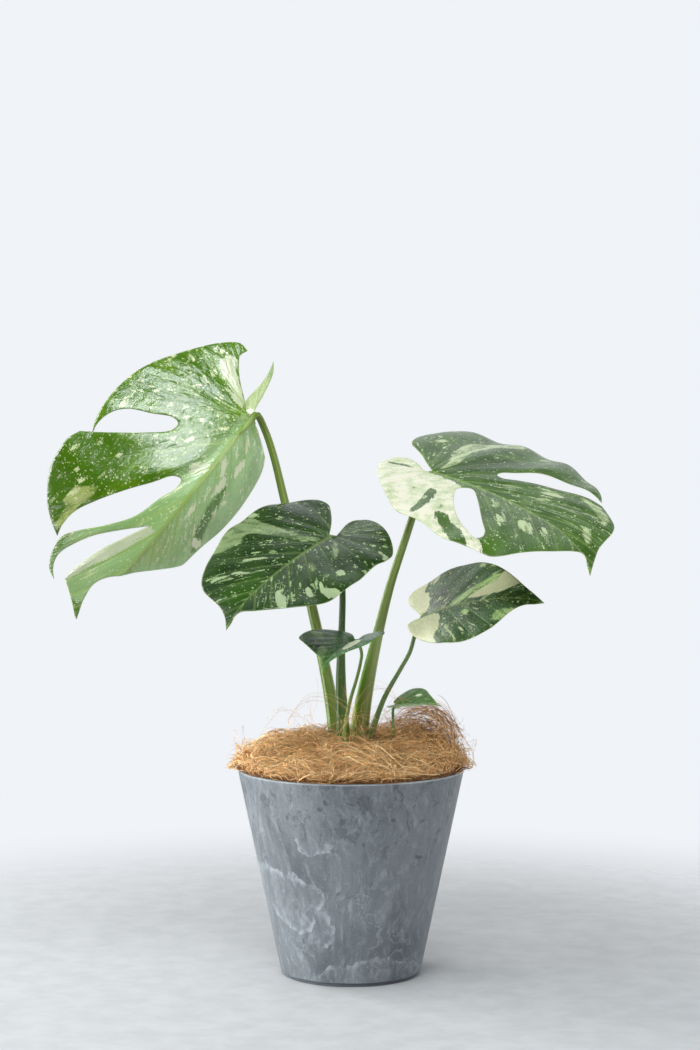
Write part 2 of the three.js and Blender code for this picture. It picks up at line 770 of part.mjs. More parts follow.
// The fibre mat: a low springy mound over the soil and the rim, made of ridges and loose strands
function matHeight(x, y) {
  const fromMiddle = Math.hypot(x, y) / MAT_REACH;
  const dome = 26 * (1 - fromMiddle ** 2);
  const rightHeap = 15 * Math.exp(-((x - 66) ** 2 + (y - 4) ** 2) / 1100);
  const leftHeap = 6 * Math.exp(-((x + 78) ** 2 + (y - 8) ** 2) / 1300);
  const dip = -9 * Math.exp(-((x - 4) ** 2 + (y + 26) ** 2) / 500);
  const ridges = 1.8 * Math.sin((x + 2 * y) / 5 + 2 * Math.sin(y / 16))
    + 1.5 * Math.sin((2 * x - y) / 6 + 2 * Math.sin(x / 19));
  return POT_HEIGHT + 3 + dome + rightHeap + leftHeap + dip + ridges;
}

// 1 at the front of the pot, where the fibre stays inside the rim, and 0 at the back
function frontShare(angle) {
  return smoothStep(0, 0.35, -Math.sin(angle));
}

function matMound() {
  const sides = 40;
  const insideWall = innerRadius(POT_HEIGHT) - GAP - 0.2;
  const overRim = POT_HEIGHT + GAP + 0.1;
  const edge = (angle) => {
    const frayed = MAT_REACH - 3 + 2.2 * Math.sin(5 * angle + 1) + 1.6 * Math.sin(11 * angle);
    return THREE.MathUtils.lerp(frayed, insideWall - 1.5, frontShare(angle));
  };
  const rings = [
    circleRing(innerRadius(MAT_BOTTOM) - GAP - 0.2, MAT_BOTTOM, sides),
    circleRing(insideWall, POT_HEIGHT - 1, sides),
    circleRing(insideWall, overRim, sides),
  ];
  const unitRing = circleRing(1, 0, sides);
  rings.push(unitRing.map(({ x, y }) => {
    const reach = Math.min(edge(Math.atan2(y, x)) - 0.5, RIM_RADIUS - 1);
    return new THREE.Vector3(x * reach, y * reach, overRim);
  }));
  for (const share of [1, 0.94, 0.85, 0.75, 0.64, 0.52, 0.4, 0.27, 0.13]) {
    rings.push(unitRing.map((direction) => {
      const reach = edge(Math.atan2(direction.y, direction.x)) * share;
      const x = direction.x * reach;
      const y = direction.y * reach;
      const lip = share === 1 ? POT_HEIGHT + 2.5 : matHeight(x, y);
      return new THREE.Vector3(x, y, lip);
    }));
  }
  return toSolid(skinRings(rings));
}

// A strand lies on the mound in a loose arc, with both ends sunk in
function strand(start, heading, length, bend, lift, radius) {
  const points = [];
  const steps = 6;
  let [x, y] = start;
  let direction = heading;
  for (let i = 0; i <= steps; i += 1) {
    const t = i / steps;
    const height = matHeight(x, y) - 2 + (lift + 2) * Math.sin(Math.PI * t);
    points.push(new THREE.Vector3(x, y, height));
    x += (Math.cos(direction) * length) / steps;
    y += (Math.sin(direction) * length) / steps;
    direction += bend / steps;
  }
  return toSolid(tube(points, 6, 3, (t) => radius * (1 - 0.5 * Math.abs(2 * t - 1))));
}

const STRANDS = 28;
const RIM_WISPS = 18;
const TUFT_STRANDS = 5;

function makeMat(holes) {
  const random = seededRandom(11);
  const between = (low, high) => low + (high - low) * random();
  let mat = matMound();
  for (let i = 0; i < STRANDS; i += 1) {
    const place = 2 * Math.PI * random();
    const away = 96 * Math.sqrt(between(0.06, 1));
    const start = [away * Math.cos(place), away * Math.sin(place)];
    const heading = place + Math.PI * between(0.55, 1.45);
    mat = mat.add(strand(start, heading, between(45, 85), between(-1.6, 1.6), between(5, 9), 1.3));
  }
  for (let i = 0; i < RIM_WISPS; i += 1) {
    const place = (2 * Math.PI * (i + random())) / RIM_WISPS;
    const inner = new THREE.Vector3(96 * Math.cos(place), 96 * Math.sin(place), POT_HEIGHT + 6);
    const turn = place + between(-0.25, 0.25);
    const over = between(116, 125) - 12 * frontShare(place);
    const middle = new THREE.Vector3(over * 0.93 * Math.cos(turn), over * 0.93 * Math.sin(turn),
      POT_HEIGHT + between(6, 14));
    const tip = new THREE.Vector3(over * Math.cos(turn * 1.02), over * Math.sin(turn * 1.02),
      POT_HEIGHT + between(0, 14));
    mat = mat.add(toSolid(tube([inner, middle, tip], 4, 3, (t) => 1.5 - t)));
  }
  for (let i = 0; i < TUFT_STRANDS; i += 1) {
    const side = between(-9, 9);
    const foot = new THREE.Vector3(52 + side * 0.5, 14 + side, matHeight(52, 14) - 4);
    const crown = new THREE.Vector3(72 + side * 0.4, 6 + side, 250 + between(-5, 3));
    const fall = new THREE.Vector3(92 + between(-5, 6), -4 + side, 232 + between(-6, 3));
    const end = new THREE.Vector3(99 + between(-6, 8), -12 + side, 205);
    mat = mat.add(toSolid(tube([foot, crown, fall, end], 7, 3, () => 1.9)));
  }
  for (const hole of holes) mat = mat.subtract(hole);
  return toGeometry(largestBody(mat));
}

// A solid ring round the rim that the fibre has to stay clear of
function rimKeepOut() {
  const depth = 60;
  const profile = [
    [innerRadius(POT_HEIGHT - depth) - GAP, POT_HEIGHT - depth],
    [wallRadius(POT_HEIGHT - depth) + GAP, POT_HEIGHT - depth],
    [RIM_RADIUS + GAP, POT_HEIGHT + GAP],
    [innerRadius(POT_HEIGHT) - GAP, POT_HEIGHT + GAP],
    [innerRadius(POT_HEIGHT - depth) - GAP, POT_HEIGHT - depth],
  ].map(([r, z]) => new THREE.Vector2(r, z));
  const ring = new THREE.LatheGeometry(profile, 64);
  ring.rotateX(Math.PI / 2);
  return toSolid(ring);
}

// The pieces, from the floor up
addPiece('pot', makePot(), 0x7b8388, 0.55);
addPiece('soil', makeSoil(stemSolid(GAP)), 0x3a2c22, 0.95);

const stalkHoles = LEAVES.map((leaf) => toSolid(makeStalk(leaf, 0.4)));

let stem = stemSolid(0);
for (const hole of stalkHoles) stem = stem.subtract(hole);
addPiece('stem', toGeometry(largestBody(stem)), 0x6b7a42, 0.6);

addPiece('coir_mulch', makeMat([stemSolid(GAP), rimKeepOut(), ...stalkHoles]), 0xc8995f, 0.9);

for (const leaf of LEAVES) {
  addPiece(`petiole_${leaf.name}`, makeStalk(leaf), 0x7a9b48, 0.45);
  addPiece(`blade_${leaf.name}`, makeBlade(leaf), leaf.color, 0.4);
}

export default plant;
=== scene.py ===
"""A potted variegated monstera: the looks of its pot, soil, coconut fibre, stalks and leaves."""
import math

import bpy
import numpy as np
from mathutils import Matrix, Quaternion, Vector
from mathutils.geometry import delaunay_2d_cdt


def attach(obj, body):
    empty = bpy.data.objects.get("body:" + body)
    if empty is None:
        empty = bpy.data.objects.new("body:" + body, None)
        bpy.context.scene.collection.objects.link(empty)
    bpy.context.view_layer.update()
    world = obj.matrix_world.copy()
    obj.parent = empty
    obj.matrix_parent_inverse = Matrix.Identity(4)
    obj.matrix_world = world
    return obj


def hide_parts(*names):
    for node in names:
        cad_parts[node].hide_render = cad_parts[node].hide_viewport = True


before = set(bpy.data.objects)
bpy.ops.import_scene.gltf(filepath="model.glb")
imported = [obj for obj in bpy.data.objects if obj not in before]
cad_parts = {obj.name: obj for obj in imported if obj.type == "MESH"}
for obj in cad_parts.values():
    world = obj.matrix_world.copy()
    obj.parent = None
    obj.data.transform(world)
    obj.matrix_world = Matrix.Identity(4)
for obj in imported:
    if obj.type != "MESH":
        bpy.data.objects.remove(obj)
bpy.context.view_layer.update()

# Lengths below are in millimetres unless a name says otherwise, and angles are in degrees
MM = 0.001
RIM_RADIUS = 110
POT_HEIGHT = 200
WALL = 4
STALK_SEAT = 187
STALK_GAP = 0.3
STALK_RINGS = 80
STALK_SIDES = 28
GROOVE_ANGLE = 262
MESH_STEP = 2.0
RIB_HALF_WIDTH = 3.5

# How far blades reach to the sides of their midribs and behind their stalks, and where their tips begin
BLADE_REACH = 140
LOBE_REACH = 100
BODY_SHARE = 0.7

# How much side veins bend forward, and how far the blade swells between them for each millimetre of spacing
VEIN_BEND = 0.2
QUILT_SHARE = 0.024

# Bends of a leaf are given in degrees for each 100 mm
PER_100_MM = math.radians(1) / 100

# The fibre mat: where its dome would reach the rim's height, its rise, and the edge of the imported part
MAT_REACH = 116
MAT_RISE = 20
MAT_EDGE = RIM_RADIUS - WALL - 1.5
rng = np.random.default_rng(7)


# Numbers and curves
def smooth_step(low, high, value):
    t = np.clip((np.asarray(value, float) - low) / (high - low), 0, 1)
    return t * t * (3 - 2 * t)


def srgb(red, green, blue):
    """A screen colour of 0 to 255 as linear light."""
    shares = np.array([red, green, blue]) / 255
    linear = np.where(shares <= 0.04045, shares / 12.92, ((shares + 0.055) / 1.055) ** 2.4)
    return (*linear.tolist(), 1.0)


def in_light(look):
    """The same look with its screen colours as linear light."""
    return {key: srgb(*value) if isinstance(value, tuple) else value for key, value in look.items()}


def round_angles(count):
    """Angles evenly round a circle."""
    return np.linspace(0, 2 * math.pi, count, endpoint=False)


def around(reach, angle, height):
    """Points at a reach and an angle round the middle of the pot."""
    return np.stack(np.broadcast_arrays(reach * np.cos(angle), reach * np.sin(angle), height), -1)


def spline(points, step, closed=False):
    """A centripetal curve through the points, sampled about every step. An open one has no last point."""
    points = np.asarray(points, float)
    if closed:
        padded = np.vstack([points[-1], points, points[0], points[1]])
    else:
        padded = np.vstack([2 * points[0] - points[1], points, 2 * points[-1] - points[-2]])
    sampled = []
    for i in range(len(padded) - 3):
        before, start, end, after = padded[i:i + 4]
        gaps = [max(np.linalg.norm(b - a), 1e-6) ** 0.5
                for a, b in ((before, start), (start, end), (end, after))]
        leave = (start - before) / gaps[0] - (end - before) / (gaps[0] + gaps[1]) + (end - start) / gaps[1]
        arrive = (end - start) / gaps[1] - (after - start) / (gaps[1] + gaps[2]) + (after - end) / gaps[2]
        pieces = max(1, round(np.linalg.norm(end - start) / step))
        t = np.arange(pieces)[:, None] / pieces
        sampled.append(
            (2 * t**3 - 3 * t**2 + 1) * start + (t**3 - 2 * t**2 + t) * leave * gaps[1]
            + (3 * t**2 - 2 * t**3) * end + (t**3 - t**2) * arrive * gaps[1])
    return np.vstack(sampled)


def evenly(points, count):
    """The same line with evenly spaced points."""
    steps = np.linalg.norm(np.diff(points, axis=0), axis=1)
    travelled = np.concatenate([[0], np.cumsum(steps)])
    wanted = np.linspace(0, travelled[-1], count)
    return np.stack([np.interp(wanted, travelled, points[:, k]) for k in range(points.shape[1])], 1)


def inside(points, loop):
    """Which flat points lie inside a closed loop."""
    found = np.zeros(len(points), bool)
    for (x0, y0), (x1, y1) in zip(loop, np.roll(loop, -1, axis=0)):
        crosses = (y0 > points[:, 1]) != (y1 > points[:, 1])
        if y0 != y1:
            at = x0 + (x1 - x0) * (points[:, 1] - y0) / (y1 - y0)
            found ^= crosses & (points[:, 0] < at)
    return found


def distance_to(points, loops):
    """How far each point is from the nearest of the closed loops."""
    nearest = np.full(len(points), np.inf)
    for start, end in (edge for loop in loops for edge in zip(loop, np.roll(loop, -1, axis=0))):
        edge = end - start
        share = np.clip(((points - start) @ edge) / max(edge @ edge, 1e-9), 0, 1)
        nearest = np.minimum(nearest, np.linalg.norm(points - start - share[:, None] * edge, axis=1))
    return nearest


def signed_distance(points, outlines, limit=20):
    """How far outside the nearest of the outlines each point is, and below zero inside one."""
    best = np.full(len(points), float(limit))
    for outline in outlines:
        loop = spline(outline, 3, closed=True)
        away = distance_to(points, [loop])
        best = np.minimum(best, np.where(inside(points, loop), -away, away))
    return best


# Meshes
def make_piece(name, vertices, faces, attributes=None):
    """A smooth mesh piece from points in millimetres, with named values for each point."""
    mesh = bpy.data.meshes.new(name)
    mesh.from_pydata((np.asarray(vertices) * MM).tolist(), [], [list(map(int, f)) for f in faces])
    for key, values in (attributes or {}).items():
        values = np.asarray(values, float)
        kind = "FLOAT" if values.ndim == 1 else "FLOAT_VECTOR"
        layer = mesh.attributes.new(key, kind, "POINT")
        layer.data.foreach_set("value" if values.ndim == 1 else "vector", values.ravel())
    mesh.polygons.foreach_set("use_smooth", [True] * len(mesh.polygons))
    piece = bpy.data.objects.new(name, mesh)
    bpy.context.scene.collection.objects.link(piece)
    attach(piece, "root")
    return piece


def travel_frames(points):
    """Two directions across a line at each of its points, which never spin round it."""
    tangents = np.gradient(points, axis=0)
    tangents /= np.linalg.norm(tangents, axis=1)[:, None]
    across = np.zeros_like(points)
    side = np.array([1.0, 0, 0])
    for i, along in enumerate(tangents):
        side = side - along * (side @ along)
        side /= np.linalg.norm(side)
        across[i] = side
    return across, np.cross(tangents, across)


def ring_faces(rings, sides):
    """Quads between rings of points."""
    i, j = np.meshgrid(np.arange(rings - 1), np.arange(sides), indexing="ij")
    a = i * sides + j
    b = i * sides + (j + 1) % sides
    return np.stack([a, b, b + sides, a + sides], -1).reshape(-1, 4)


# Materials
class Paint:
    """The nodes of a material or a world, with short ways to add to them."""

    def __init__(self, owner):
        self.owner = owner
        owner.use_nodes = True
        self.tree = owner.node_tree
        self.tree.nodes.clear()

    def add(self, kind, inputs, **settings):
        node = self.tree.nodes.new("ShaderNode" + kind)
        for key, value in settings.items():
            setattr(node, key, value)
        for key, value in inputs.items():
            if isinstance(value, bpy.types.NodeSocket):
                self.tree.links.new(value, node.inputs[key])
            else:
                node.inputs[key].default_value = value
        return node

    def math(self, operation, *values):
        return self.add("Math", dict(enumerate(values)), operation=operation).outputs[0]

    def about_half(self, value, factor):
        """A value that lies around a half, as one that lies around nought, times the factor."""
        return self.times(self.minus(value, 0.5), factor)

    def minus(self, a, b):
        return self.math("SUBTRACT", a, b)

    def plus(self, total, *others):
        for other in others:
            total = self.math("ADD", total, other)
        return total

    def times(self, total, *factors):
        for factor in factors:
            total = self.math("MULTIPLY", total, factor)
        return total

    def mask(self, value, low, high, to_low=0.0, to_high=1.0):
        """Goes smoothly from to_low where the value is low to to_high where it is high."""
        return self.add(
            "MapRange", {0: value, 1: low, 2: high, 3: to_low, 4: to_high},
            interpolation_type="SMOOTHSTEP").outputs[0]

    def mix(self, share, a, b):
        return self.add("Mix", {0: share, 6: a, 7: b}, data_type="RGBA").outputs[2]

    def over(self, color, new, *shares):
        """The new colour laid over the other one by the product of the shares."""
        return self.mix(self.times(*shares), color, new)

    def attribute(self, name, output="Fac"):
        return self.add("Attribute", {}, attribute_name=name).outputs[output]

    def position(self):
        return self.add("TexCoord", {}).outputs["Object"]

    def split(self, vector):
        return self.add("SeparateXYZ", {0: vector}).outputs[:]

    def warp(self, vector, noise_scale, amount, detail=3.0):
        """The vector pushed about by noise, by up to about a fifth of the amount each way."""
        noise = self.add("TexNoise", {"Vector": vector, "Scale": noise_scale, "Detail": detail})
        push = self.add("VectorMath", {0: noise.outputs["Color"], 1: (amount,) * 3, 2: (-amount / 2,) * 3},
                        operation="MULTIPLY_ADD").outputs[0]
        return self.add("VectorMath", {0: vector, 1: push}, operation="ADD").outputs[0]

    def combine(self, x, y, z=0.0):
        return self.add("CombineXYZ", {0: x, 1: y, 2: z}).outputs[0]

    def scaled(self, vector, factors, turn=(0, 0, 0)):
        turned = [math.radians(angle) for angle in turn]
        return self.add("Mapping", {"Vector": vector, "Rotation": turned, "Scale": factors}).outputs[0]

    def noise(self, vector, scale, detail=2.0, roughness=0.5, distortion=0.0):
        return self.add("TexNoise", {
            "Vector": vector, "Scale": scale, "Detail": detail,
            "Roughness": roughness, "Distortion": distortion}).outputs["Fac"]

    def cells(self, vector, scale):
        return self.add("TexVoronoi", {"Vector": vector, "Scale": scale})

    def bump(self, height, distance, strength=1.0):
        return self.add("Bump", {"Height": height, "Distance": distance, "Strength": strength}).outputs[0]

    def finish(self, color, roughness, normal=None, constants=None, glow=0.0):
        """The surface from its colour, roughness and relief. Glow is the share of light let through."""
        inputs = {"Base Color": color, "Roughness": roughness, **(constants or {})}
        if normal is not None:
            inputs["Normal"] = normal
        surface = self.add("BsdfPrincipled", inputs).outputs[0]
        if glow:
            through = self.add("BsdfTranslucent", {"Color": color}).outputs[0]
            surface = self.add("MixShader", {0: glow, 1: surface, 2: through}).outputs[0]
        self.add("OutputMaterial", {"Surface": surface})
        return self.owner


def paint(name):
    return Paint(bpy.data.materials.new(name))


def wear(piece, material):
    piece.data.materials.clear()
    piece.data.materials.append(material)


# Colours
FLECK = srgb(208, 220, 168)
PALE_GREEN = srgb(168, 190, 134)
# Painted light on the half of the left leaf that bends down from the midrib and gets little lamp light: a
# lighter green, and lighter flecks and cream
FOLDED_HALF_PAINTED_LIGHT = srgb(206, 248, 186)
FOLDED_HALF_LIT_FLECK = srgb(250, 255, 226)
VEIN_GREEN = srgb(164, 194, 100)
UNDER_GREEN = srgb(172, 190, 142)
DEEP_GREEN = srgb(38, 70, 2)
SHEATH_GREEN = srgb(98, 148, 14)
POT_DENT = srgb(52, 58, 64)
POT_DARK = srgb(68, 74, 80)
POT_MID = srgb(98, 105, 110)
POT_LIGHT = srgb(150, 157, 163)
# Pale grey for the crescents and for the painted highlights on layer edges and the lip
POT_PALE = srgb(180, 188, 194)
FIBRE_DARK = srgb(142, 94, 50)
FIBRE_MID = srgb(244, 200, 136)
FIBRE_STRAW = srgb(255, 232, 180)
BACKDROP = srgb(240, 243, 247)
DAYLIGHT = (0.94, 0.98, 1.0)
WHITE = (1.0, 1.0, 1.0)

# Leaf stalks in screen colours: below, above, their stripes, and the edge of the wing
STALK_TONES = {
    "left": {"low": (104, 134, 34), "high": (100, 124, 34), "stripe": (164, 184, 104),
             "wing": (170, 196, 92)},
    "right": {"low": (130, 152, 78), "high": (122, 148, 66), "stripe": (174, 190, 124),
              "wing": (214, 234, 124)},
    "centre": {"low": (70, 106, 30), "high": (48, 74, 30), "stripe": (96, 128, 66), "wing": (120, 156, 64)},
    "lower_right": {"low": (92, 126, 62), "high": (84, 112, 52), "stripe": (134, 158, 106),
                    "wing": (150, 180, 100)},
    "front": {"low": (122, 156, 84), "high": (84, 120, 44), "stripe": (144, 172, 100),
              "wing": (150, 184, 96)},
    "small": {"low": (84, 130, 44), "high": (70, 106, 38), "stripe": (120, 152, 78), "wing": (130, 166, 86)},
}

# Pale crescents on the front of the pot, paler stone with a painted highlight along the sharp outer edge:
# centre across and up, radius, and the side that they lie on
POT_ARCS = [(-33, 150, 21, -90), (-70, 60, 52, 52), (-52, 82, 27, -80), (20, -60, 88, 90)]

# Small dark dents in it: across, up and size
POT_DENTS = [(-29, 175, 4), (-21, 183, 3), (65, 125, 4), (79, 150, 3), (-47, 49, 3), (-58, 166, 4),
             (12, 138, 3), (38, 160, 3), (-12, 96, 3)]

# Fibres that leave the mat in bunches: the brown tuft at the right, and fine hairs round the stalks
TUFT_PATHS = [
    [(30, 18, 226), (44, 12, 246), (62, 4, 256), (80, 0, 252), (92, -4, 236), (97, -6, 218), (98, -8, 206)],
    [(60, -2, 240), (76, -6, 252), (88, -8, 248), (95, -10, 234), (97, -12, 218), (94, -14, 206)],
    [(40, 26, 236), (56, 20, 254), (78, 14, 258), (96, 8, 244), (106, 2, 226), (108, -4, 210)],
]
HAIR_PATHS = [
    [(-62, -20, 224), (-56, -24, 250), (-42, -30, 272), (-22, -36, 270), (0, -40, 246), (10, -44, 222)],
    [(-26, -46, 216), (-36, -50, 250), (-38, -50, 280), (-34, -46, 302)],
    [(52, -30, 232), (44, -40, 266), (22, -46, 286), (2, -48, 262), (-8, -50, 226)],
    [(70, -10, 236), (60, -20, 262), (44, -30, 270), (30, -36, 250), (28, -40, 226)],
    [(-40, -40, 218), (-20, -50, 244), (8, -52, 252), (26, -52, 238), (34, -50, 222)],
    [(-88, -6, 222), (-80, -10, 246), (-64, -16, 258), (-46, -22, 246), (-38, -26, 226)],
    [(-12, -44, 314), (-9, -48, 300), (-5, -52, 280), (0, -56, 262), (6, -58, 244), (10, -60, 222)],
    [(22, -46, 286), (14, -52, 272), (4, -56, 262), (-6, -58, 250), (-16, -58, 232), (-22, -56, 216)],
    [(-22, -52, 218), (-10, -56, 248), (4, -58, 256), (18, -58, 252), (28, -56, 238), (34, -54, 216)],
]

# Heaps and dips of the fibre mat: across, deep, height and spread
MAT_HEAPS = [(66, 4, 15, 1100), (-78, 8, 3, 1300), (2, -26, -13, 700)]

# Each leaf is outlined flat, with x along its midrib and y to its left. "runs" are the parts of the outline
# between its corners, and each run starts where the one before it ends. "fold" lifts a half at the midrib,
# "curl" bends it outwards, and the droops bend the midrib down in the body, in the tip and behind the stalk.
# "lobe_twist" turns the left basal lobe. A stalk that is "over" joins the blade on its upper side, and its
# wing, the sheath, has run out at "to" of the stalk's length.
LEAVES = [
    dict(
        name="left", base=(-98, 15, 539), heading=230, pitch=-42, roll=-53, length=290, droop=28,
        tip_droop=40, back_droop=3, sweep=-3, fold_left=-46, fold_right=-6, curl_left=-24, curl_right=-19,
        lobe_twist=-70, wave=2, wave_length=74, thickness=1, keel=2,
        runs=[
            [(0, -3), (-17, -17), (-33, -31), (-50, -42), (-60, -46), (-69, -43)],
            [(-73, -54), (-64, -69), (-43, -90), (-18, -109), (8, -123), (40, -130), (73, -129), (92, -125),
             (108, -118)],
            [(92, -121), (74, -117), (60, -105), (51, -82), (43, -62), (46, -54), (56, -55), (73, -74),
             (92, -101), (113, -131)],
            [(128, -136), (150, -134), (175, -127), (198, -110), (213, -91), (222, -73)],
            [(208, -77), (187, -77), (160, -67), (133, -52), (110, -36), (94, -25), (92, -17), (101, -15),
             (119, -21), (147, -28), (174, -44), (199, -61), (217, -69), (236, -67), (252, -62), (265, -54),
             (270, -44)],
            [(262, -51), (249, -57), (236, -59), (221, -57), (193, -47), (166, -28), (148, -12)],
            [(168, -21), (199, -32), (236, -38), (256, -37)], [(264, -27), (278, -13), (300, 3)],
            [(280, -3), (260, -9), (232, -13), (213, -6), (200, 9), (191, 33), (184, 56)],
            [(178, 67), (161, 69), (141, 72), (112, 79), (76, 81), (40, 77), (12, 70), (-1, 60), (-5, 45),
             (-4, 20), (-3, 9)],
            [(-8, 16), (-15, 24), (-25, 29), (-38, 29), (-54, 26), (-70, 26), (-93, 32)],
            [(-72, 19), (-45, 10), (-20, 5), (-3, 2)],
        ],
        stalk=dict(
            path=[(-12, 7, STALK_SEAT), (-15, 7, 212), (-19, 10, 259), (-31, 17, 323), (-47, 25, 391),
             (-64, 30, 455), (-76, 29, 504), (-84, 27, 528)],
            radii=[6, 6, 5.2, 4.6, 3.7, 3.3], over=True, sheath=dict(angle=20, height=2.4, to=0.3)),
    ),
    dict(
        name="right", base=(77, 10, 488), heading=-40, pitch=-12, roll=10, length=235, droop=4,
        tip_droop=40, back_droop=1, sweep=-9, fold_left=11, fold_right=0, curl_left=-15, curl_right=-12,
        lobe_twist=0, wave=2, wave_length=66, thickness=1, keel=1.8,
        runs=[
            [(0, 3), (-16, 14), (-33, 27), (-49, 37), (-60, 44), (-69, 57), (-73, 73), (-73, 92), (-72, 107),
             (-67, 121), (-57, 129), (-40, 131), (-20, 131), (0, 129), (22, 128), (42, 126), (63, 122),
             (86, 118), (106, 112), (126, 103), (144, 93), (158, 84), (166, 76)],
            [(148, 80), (128, 83), (107, 79), (84, 69), (67, 52), (57, 43), (57, 35), (66, 32), (82, 39),
             (107, 52), (133, 62), (158, 69), (171, 71)],
            [(180, 68), (192, 63), (201, 58), (207, 49), (211, 36), (216, 22), (225, 9), (237, -5)],
            [(227, -2), (218, 2), (211, 1), (206, -8), (198, -30), (189, -50), (180, -70), (174, -82),
             (166, -90), (157, -93), (148, -96), (137, -101), (120, -104), (100, -101), (82, -98), (67, -99),
             (49, -97), (31, -90), (13, -79), (-5, -66), (-26, -46), (-43, -28), (-53, -11), (-54, 2),
             (-49, 10), (-40, 13), (-31, 11), (-19, 6), (-8, -1), (-1, -3)],
        ],
        holes=[
            [(52, -12), (58, -7), (66, -10), (77, -19), (93, -33), (111, -49), (123, -59), (133, -67),
             (139, -76), (137, -83), (131, -84), (118, -78), (100, -69), (82, -57), (65, -40), (54, -26),
             (50, -18)],
        ],
        stalk=dict(
            path=[(9, 6, STALK_SEAT), (10, 6, 212), (12, 5, 250), (21, 3, 305), (37, 0, 374), (55, -1, 430),
             (66, 3, 464)],
            radii=[6.8, 6.6, 5.3, 4.1, 3.6, 3.3], sheath=dict(angle=200, height=6, to=0.5)),
    ),
    dict(
        name="centre", base=(-18, -60, 429), heading=230, pitch=-18, roll=-12, length=183, droop=4,
        tip_droop=30, back_droop=3, sweep=7, fold_left=3, fold_right=12, curl_left=-15, curl_right=-16,
        lobe_twist=0, wave=1.5, wave_length=58, thickness=0.9, keel=1.5,
        runs=[
            [(0, -3), (-17, -14), (-34, -28), (-46, -41), (-47, -54), (-38, -67), (-25, -76), (-6, -84),
             (16, -87), (40, -84), (66, -80), (86, -74), (108, -65), (124, -60), (137, -55), (148, -48),
             (155, -39), (159, -28), (163, -17), (171, -7), (183, 1)],
            [(174, 2), (165, 1), (158, 4), (152, 16), (143, 31), (133, 46), (121, 59), (106, 68), (84, 73),
             (61, 74), (40, 71), (25, 71), (15, 74), (2, 72), (-11, 64), (-25, 51), (-38, 35), (-47, 18),
             (-48, 4), (-40, -3), (-30, -4), (-17, -1), (-2, 4)],
        ],
        stalk=dict(
            path=[(-6, -6, STALK_SEAT), (-8, -7, 212), (-9, -9, 240), (-10, -15, 285), (-9, -25, 330),
             (-8, -37, 375), (-10, -46, 405)],
            radii=[4.8, 5.2, 4.6, 3.2, 2.8, 2.5], sheath=dict(angle=15, height=3.4, to=0.5)),
    ),
    dict(
        name="lower_right", base=(67, -10, 348), heading=-47, pitch=20, roll=50, length=148, droop=15,
        tip_droop=48, back_droop=0, sweep=-5, fold_left=2, fold_right=5, curl_left=-15, curl_right=-13,
        lobe_twist=0, wave=1, wave_length=52, thickness=0.8, keel=1.1,
        runs=[
            [(0, 2), (-15, 15), (-29, 29), (-32, 39), (-26, 45), (-14, 48), (-3, 50), (11, 53), (28, 56),
             (46, 55), (65, 51), (82, 45), (97, 36), (112, 25), (125, 15), (137, 7), (149, -1)],
            [(140, -5), (132, -7), (124, -12), (117, -20), (112, -28), (106, -36), (98, -42), (87, -47),
             (72, -50), (55, -49), (38, -45), (22, -38), (4, -27), (-9, -14), (-16, -4), (-10, -1), (0, -2)],
        ],
        stalk=dict(
            path=[(15, -3, STALK_SEAT), (17, -4, 210), (21, -5, 236), (32, -4, 268), (47, -3, 295),
             (57, -2, 313), (62, -3, 330)],
            radii=[2.9, 3, 2.6, 2.1, 2, 1.9], sheath=dict(angle=170, height=2, to=0.4)),
    ),
    dict(
        name="front", base=(5, -75, 332), heading=240, pitch=-7, roll=8, length=84, droop=26, tip_droop=54,
        back_droop=0, sweep=4, fold_left=5, fold_right=20, curl_left=-12, curl_right=-11, lobe_twist=0,
        wave=0.6, wave_length=40, thickness=0.8, keel=0.8,
        runs=[
            [(0, -1.5), (-12, -12), (-14, -23), (-10, -33), (-2, -42), (8, -48), (18, -49), (28, -46),
             (36, -37), (45, -25), (54, -13), (63, -5), (74, 1), (86, 5)],
            [(77, 5), (66, 4), (58, 6), (51, 11), (44, 17), (38, 24), (28, 29), (12, 30), (-5, 27),
             (-20, 20), (-31, 10), (-33, 1), (-18, -2), (-1, 1.5)],
        ],
        stalk=dict(
            path=[(-1, -14, STALK_SEAT), (-4, -17, 210), (-6, -20, 236), (-1, -29, 268), (5, -42, 290),
             (9, -56, 308), (10, -66, 319)],
            radii=[2.2, 2.2, 1.9, 1.6, 1.5, 1.4], sheath=dict(angle=200, height=0.7, to=0.35)),
    ),
    dict(
        name="small", base=(42, -20, 264), heading=-38, pitch=10, roll=31, length=55, droop=23,
        tip_droop=62, back_droop=0, sweep=-1, fold_left=1, fold_right=24, curl_left=-15, curl_right=-5,
        lobe_twist=0, wave=0.3, wave_length=30, thickness=0.7, keel=0.5,
        runs=[
            [(0, 1.5), (-4, 5), (-4, 11), (-1, 18), (5, 24), (15, 26), (24, 23), (33, 15), (42, 7), (50, 0),
             (58, -6)],
            [(50, -5), (42, -5), (33, -9), (23, -13), (12, -15), (3, -13), (-4, -8), (-4, -3), (0, -1.5)],
        ],
        stalk=dict(
            path=[(16, -10, STALK_SEAT), (24, -14, 203), (34, -18, 216), (40, -20, 233), (40.5, -20, 250)],
            radii=[1.6, 1.7, 1.5, 1.4, 1.3], sheath=dict(angle=180, height=0, to=0.1)),
    ),
]

